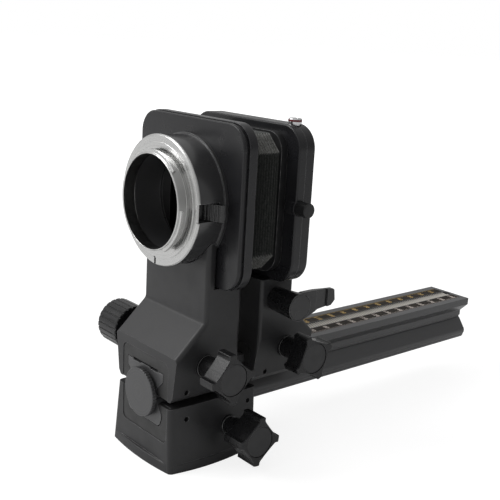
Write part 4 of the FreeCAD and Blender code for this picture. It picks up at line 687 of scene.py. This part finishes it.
def bellows_tree():
    """Pleats a tube with cut corners along +Y: tips and roots take turns, a little unevenly by a seed."""
    tree, given = new_tree("bellows_pleats", (
        ("Half width", "Float"), ("Half height", "Float"), ("Corner cut", "Float"), ("Near", "Float"),
        ("Far", "Float"), ("Axis height", "Float"), ("Folds", "Int"), ("Depth", "Float"),
        ("Unevenness", "Float"), ("Seed", "Int"), ("Material", "Material")))
    steps = add(tree, "ShaderNodeMath", {1: 2.0}, {0: given["Folds"]}, operation="MULTIPLY").outputs[0]
    count = add(tree, "ShaderNodeMath", {1: 1.0}, {0: steps}, operation="ADD").outputs[0]
    start = add(tree, "ShaderNodeCombineXYZ", links={"Y": given["Near"], "Z": given["Axis height"]})
    stop = add(tree, "ShaderNodeCombineXYZ", links={"Y": given["Far"], "Z": given["Axis height"]})
    line = add(tree, "GeometryNodeMeshLine", links={"Count": count, "Start Location": start.outputs[0],
                                                    "Offset": stop.outputs[0]}, mode="END_POINTS")
    path = add(tree, "GeometryNodeMeshToCurve", links={"Mesh": line.outputs["Mesh"]})
    index = add(tree, "GeometryNodeInputIndex").outputs[0]
    odd = add(tree, "ShaderNodeMath", {1: 2.0}, {0: index}, operation="MODULO").outputs[0]
    uneven = add(tree, "FunctionNodeRandomValue", {2: 0.0}, {3: given["Unevenness"], "Seed": given["Seed"]},
                 data_type="FLOAT").outputs[1]
    depth = add(tree, "ShaderNodeMath", links={0: given["Depth"], 1: given["Half height"]},
                operation="DIVIDE").outputs[0]
    inset = add(tree, "ShaderNodeMath", links={0: odd, 1: depth, 2: uneven}, operation="MULTIPLY_ADD")
    radius = add(tree, "ShaderNodeMath", {0: 1.0}, {1: inset.outputs[0]}, operation="SUBTRACT").outputs[0]
    width = add(tree, "ShaderNodeMath", {1: 2.0}, {0: given["Half width"]}, operation="MULTIPLY").outputs[0]
    height = add(tree, "ShaderNodeMath", {1: 2.0}, {0: given["Half height"]}, operation="MULTIPLY")
    square = add(tree, "GeometryNodeCurvePrimitiveQuadrilateral",
                 links={"Width": width, "Height": height.outputs[0]}, mode="RECTANGLE")
    profile = add(tree, "GeometryNodeFilletCurve", {"Count": 1, "Limit Radius": True},
                  {"Curve": square.outputs[0], "Radius": given["Corner cut"]}, mode="POLY")
    tube = add(tree, "GeometryNodeCurveToMesh", {"Fill Caps": False},
               {"Curve": path.outputs[0], "Profile Curve": profile.outputs[0], "Scale": radius})
    flat = add(tree, "GeometryNodeSetShadeSmooth", {"Shade Smooth": False}, {"Geometry": tube.outputs[0]})
    return finish_tree(tree, given, flat.outputs[0])


class MakeBellows(bpy.types.Operator):
    """Makes the pleated leather bellows between the two standards"""
    bl_idname = "bellowsunit.make_bellows"
    bl_label = "Make Bellows"

    def execute(self, context):
        settings = context.scene.bellowsunit_bellows
        colours = context.scene.bellowsunit_finish
        low, high = BELLOWS_BOX
        half_width = high.x + PROUD_WIDTH
        half_height = (high.z - low.z) / 2 + PROUD_HEIGHT
        # Split leather dyed black and matt: painted shade in the folds, a grey painted highlight on the
        # tips and a paler painted reflection on the cut corners.
        skin = leather("dyed_bellows_leather", code_of(colours.leather), "#565856", "#8e8e8b", half_width,
                       half_height, settings.chamfer, settings.depth)
        piece = body_mesh("bellows_pleats", [], [])
        run_tree(piece, bellows_tree(), {
            "Half width": half_width, "Half height": half_height, "Corner cut": settings.chamfer,
            "Near": low.y, "Far": high.y, "Axis height": AXIS_Z, "Folds": settings.folds,
            "Depth": settings.depth, "Unevenness": 0.006, "Seed": 7, "Material": skin})
        wall = piece.modifiers.new("leather", "SOLIDIFY")
        wall.thickness = settings.wall
        wall.offset = -1.0
        settled(piece)
        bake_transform(piece)
        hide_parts("bellows")
        return {"FINISHED"}


def marks_tree():
    """Marks in a row along +Y, longer at each fifth, and longest at each tenth, where both gains count."""
    tree, given = new_tree("scale_marks", (
        ("Count", "Int"), ("First", "Vector"), ("Step", "Vector"), ("Width", "Float"), ("Length", "Float"),
        ("Thickness", "Float"), ("Material", "Material")))
    line = add(tree, "GeometryNodeMeshLine",
               links={"Count": given["Count"], "Start Location": given["First"], "Offset": given["Step"]},
               mode="OFFSET")
    size = add(tree, "ShaderNodeCombineXYZ", {"X": 1.0}, {"Y": given["Width"], "Z": given["Thickness"]})
    mark = add(tree, "GeometryNodeMeshCube", links={"Size": size.outputs[0]})
    moved = add(tree, "GeometryNodeTransform", {"Translation": (-0.5, 0, 0)},
                {"Geometry": mark.outputs["Mesh"]})
    index = add(tree, "GeometryNodeInputIndex").outputs[0]
    lengths = given["Length"]
    for every, longer in ((5.0, 1.4), (10.0, 1.35)):
        rest = add(tree, "ShaderNodeMath", {1: every}, {0: index}, operation="MODULO").outputs[0]
        hit = add(tree, "ShaderNodeMath", {1: 0.5}, {0: rest}, operation="LESS_THAN").outputs[0]
        gain = add(tree, "ShaderNodeMath", {1: longer - 1.0, 2: 1.0}, {0: hit}, operation="MULTIPLY_ADD")
        lengths = add(tree, "ShaderNodeMath", links={0: lengths, 1: gain.outputs[0]},
                      operation="MULTIPLY").outputs[0]
    scale = add(tree, "ShaderNodeCombineXYZ", {"Y": 1.0, "Z": 1.0}, {"X": lengths}).outputs[0]
    row = add(tree, "GeometryNodeInstanceOnPoints", links={"Points": line.outputs["Mesh"],
                                                           "Instance": moved.outputs[0], "Scale": scale})
    return finish_tree(tree, given, row.outputs[0])


def figures(name, labels, size, material):
    """Numbers as one flat mesh: each label is (text, x, y), upright along +Y, on the strips' surface."""
    vertices, faces = [], []
    for text, x, y in labels:
        curve = bpy.data.curves.new(name, "FONT")
        curve.body = text
        curve.size = size
        curve.align_x, curve.align_y = "CENTER", "CENTER"
        curve.extrude = PAINT_THICK / 2
        curve.offset = STROKE_GAIN
        curve.resolution_u = 2
        holder = bpy.data.objects.new(name, curve)
        bpy.context.scene.collection.objects.link(holder)
        bpy.context.view_layer.update()
        evaluated = holder.evaluated_get(bpy.context.evaluated_depsgraph_get())
        mesh = bpy.data.meshes.new_from_object(evaluated)
        offset = len(vertices)
        vertices += [(v.co.x + x, v.co.y + y, v.co.z + STRIP_BOX[1].z + PAINT_LIFT) for v in mesh.vertices]
        faces += [[offset + i for i in p.vertices] for p in mesh.polygons]
        bpy.data.objects.remove(holder)
        bpy.data.curves.remove(curve)
        bpy.data.meshes.remove(mesh)
    piece = body_mesh(name, vertices, faces, material)
    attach(piece, "rail")
    return piece


class MakeScales(bpy.types.Operator):
    """Makes the numbers and the millimetre marks on the two scale strips"""
    bl_idname = "bellowsunit.make_scales"
    bl_label = "Make Scales"

    def execute(self, context):
        settings = context.scene.bellowsunit_scale
        near, far = STRIP_BOX[0].y + STRIP_MARGIN, STRIP_BOX[1].y - STRIP_MARGIN
        middle = (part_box("rail_rack")[1].x + STRIP_BOX[1].x) / 2
        # Chalky enamel rubbed into the etched marks: off-white on the right, ochre on the left.
        paints = {"right": ink("chalky_white_scale_paint", code_of(settings.right)),
                  "left": ink("ochre_scale_paint", code_of(settings.left))}
        tree = marks_tree()
        for name, side, zero, way in SCALES:
            labels = [(str(FIGURE_STEP * k), side * middle, zero + way * FIGURE_STEP * MM * k)
                      for k in range(FIGURE_COUNT)]
            inside = [label for label in labels if near + FIGURE_MARGIN < label[2] < far - FIGURE_MARGIN]
            figures("scale_figures_" + name, inside, settings.figure / DIGIT_SHARE, paints[name])
            start = zero - FIGURE_STEP * MM * math.floor((zero - near) / (FIGURE_STEP * MM))
            piece = body_mesh("scale_marks_" + name, [], [])
            first = (side * (STRIP_BOX[1].x - MARK_INSET), start, STRIP_BOX[1].z + PAINT_LIFT)
            run_tree(piece, tree, {
                "Count": int((far - start) / MM) + 1, "First": first, "Step": (0.0, MM, 0.0),
                "Width": settings.mark, "Length": side * MARK_LENGTH, "Thickness": PAINT_THICK,
                "Material": paints[name]})
            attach(piece, "rail")
        return {"FINISHED"}


# ---------------------------------------------------------------- stage
class MakeStage(bpy.types.Operator):
    """Lays the pale floor and sets the soft light and the camera"""
    bl_idname = "bellowsunit.make_stage"
    bl_label = "Make Stage"

    def execute(self, context):
        scene = context.scene
        settings = scene.bellowsunit_stage
        self.lay_floor(settings)
        self.light_room(scene, settings)
        self.hang_lamp(settings)
        self.set_camera(scene)
        scene.view_settings.view_transform = "Standard"
        return {"FINISHED"}

    def lay_floor(self, settings):
        """A wide plain floor like white paper, which takes the object's shadow and is white far off."""
        material, tree, shader = start_finish("matt_white_paper", code_of(settings.floor), roughness=0.9,
                                              specular=0.1)
        place = add(tree, "ShaderNodeNewGeometry").outputs["Position"]
        away = add(tree, "ShaderNodeVectorMath", links={0: place}, operation="LENGTH").outputs["Value"]
        share = add(tree, "ShaderNodeMapRange", {"From Min": GLOW_NEAR, "From Max": GLOW_FAR,
                                                 "To Min": GLOW_NEAR_SHARE, "To Max": 1.0}, {"Value": away})
        seen = add(tree, "ShaderNodeLightPath").outputs["Is Camera Ray"]
        share = add(tree, "ShaderNodeMath", links={0: seen, 1: share.outputs["Result"]},
                    operation="MULTIPLY").outputs[0]
        glow = add(tree, "ShaderNodeEmission", {"Color": (1, 1, 1, 1), "Strength": GLOW_STRENGTH})
        mixed = add(tree, "ShaderNodeMixShader", links={0: share, 1: shader.outputs[0], 2: glow.outputs[0]})
        tree.links.new(mixed.outputs[0], first_of(tree, "OUTPUT_MATERIAL").inputs["Surface"])
        corners = [(x * FLOOR_HALF, y * FLOOR_HALF, 0) for x, y in ((-1, -1), (1, -1), (1, 1), (-1, 1))]
        floor = body_mesh("floor", corners, [(0, 1, 2, 3)], material)

    def light_room(self, scene, settings):
        """A pale room, brighter overhead and behind the camera's left shoulder, that looks white itself."""
        world = bpy.data.worlds.new("pale_room")
        scene.world = world
        world.use_nodes = True
        tree = world.node_tree
        tree.nodes.clear()
        way = add(tree, "ShaderNodeTexCoord").outputs["Generated"]
        towards = add(tree, "ShaderNodeVectorMath", {1: BRIGHT_WAY}, {0: way}, operation="DOT_PRODUCT")
        level = add(tree, "ShaderNodeMapRange", {"From Min": DARKEST, "From Max": BRIGHTEST,
                                                 "To Min": settings.dark_side, "To Max": settings.room},
                    {"Value": towards.outputs["Value"]})
        lit = add(tree, "ShaderNodeBackground", {"Color": (1, 1, 1, 1)},
                  {"Strength": level.outputs["Result"]})
        seen = add(tree, "ShaderNodeBackground", {"Color": (1, 1, 1, 1), "Strength": 1.0})
        camera_ray = add(tree, "ShaderNodeLightPath").outputs["Is Camera Ray"]
        mixed = add(tree, "ShaderNodeMixShader",
                    links={0: camera_ray, 1: lit.outputs[0], 2: seen.outputs[0]})
        add(tree, "ShaderNodeOutputWorld", links={"Surface": mixed.outputs[0]})

    def hang_lamp(self, settings):
        """A square soft lamp aimed at the object's middle."""
        lamp = bpy.data.lights.new("key_lamp", "AREA")
        lamp.size = LAMP_SIZE
        lamp.energy = settings.key
        holder = bpy.data.objects.new("key_lamp", lamp)
        aim = Vector(LAMP_AIM) - Vector(LAMP_PLACE)
        turn = aim.to_track_quat("-Z", "Y").to_matrix().to_4x4()
        holder.matrix_world = Matrix.Translation(LAMP_PLACE) @ turn
        bpy.context.scene.collection.objects.link(holder)

    def set_camera(self, scene):
        """Looks down a little, from the knobs' side of the camera's end."""
        angles = (CAMERA_AZIMUTH, CAMERA_ELEVATION, CAMERA_ROLL)
        azimuth, elevation, roll = (math.radians(angle) for angle in angles)
        ahead = Vector((-math.sin(azimuth) * math.cos(elevation), math.cos(azimuth) * math.cos(elevation),
                        -math.sin(elevation)))
        level = Vector((math.cos(azimuth), math.sin(azimuth), 0))
        above = level.cross(ahead)
        right = math.cos(roll) * level + math.sin(roll) * above
        up = -math.sin(roll) * level + math.cos(roll) * above
        data = bpy.data.cameras.new("view")
        data.lens = FOCAL_PIXELS * SENSOR_WIDTH / PICTURE_PIXELS
        data.shift_x = SHIFT_PIXELS[0] / PICTURE_PIXELS
        data.shift_y = SHIFT_PIXELS[1] / PICTURE_PIXELS
        camera = bpy.data.objects.new("view", data)
        turn = Matrix((right, up, -ahead)).transposed().to_4x4()
        camera.matrix_world = Matrix.Translation(CAMERA_PLACE) @ turn
        scene.collection.objects.link(camera)
        scene.camera = camera


# ---------------------------------------------------------------- panel and registration
class UnitPanel(bpy.types.Panel):
    """Lists the steps and their settings"""
    bl_idname = "BELLOWSUNIT_PT_steps"
    bl_label = "Bellows Unit"
    bl_space_type = "VIEW_3D"
    bl_region_type = "UI"
    bl_category = "Bellows Unit"

    def draw(self, context):
        for name, group in SETTINGS.items():
            box = self.layout.box()
            for key in group.__annotations__:
                box.prop(getattr(context.scene, name), key)
        for operator in OPERATORS:
            self.layout.operator(operator.bl_idname)


SETTINGS = {"bellowsunit_finish": FinishSettings, "bellowsunit_bellows": BellowsSettings,
            "bellowsunit_scale": ScaleSettings, "bellowsunit_stage": StageSettings}
OPERATORS = (FinishCastings, FinishHeads, FinishKnobs, FinishRail, FinishMounts, MakeBellows, MakeScales,
             MakeStage)


def register():
    for kind in (*SETTINGS.values(), *OPERATORS, UnitPanel):
        bpy.utils.register_class(kind)
    for name, group in SETTINGS.items():
        setattr(bpy.types.Scene, name, bpy.props.PointerProperty(type=group))


def unregister():
    for name in SETTINGS:
        delattr(bpy.types.Scene, name)
    for kind in reversed((*SETTINGS.values(), *OPERATORS, UnitPanel)):
        bpy.utils.unregister_class(kind)


def main():
    register()
    for operator in OPERATORS:
        group, name = operator.bl_idname.split(".")
        getattr(getattr(bpy.ops, group), name)()


if __name__ == "__main__":
    main()
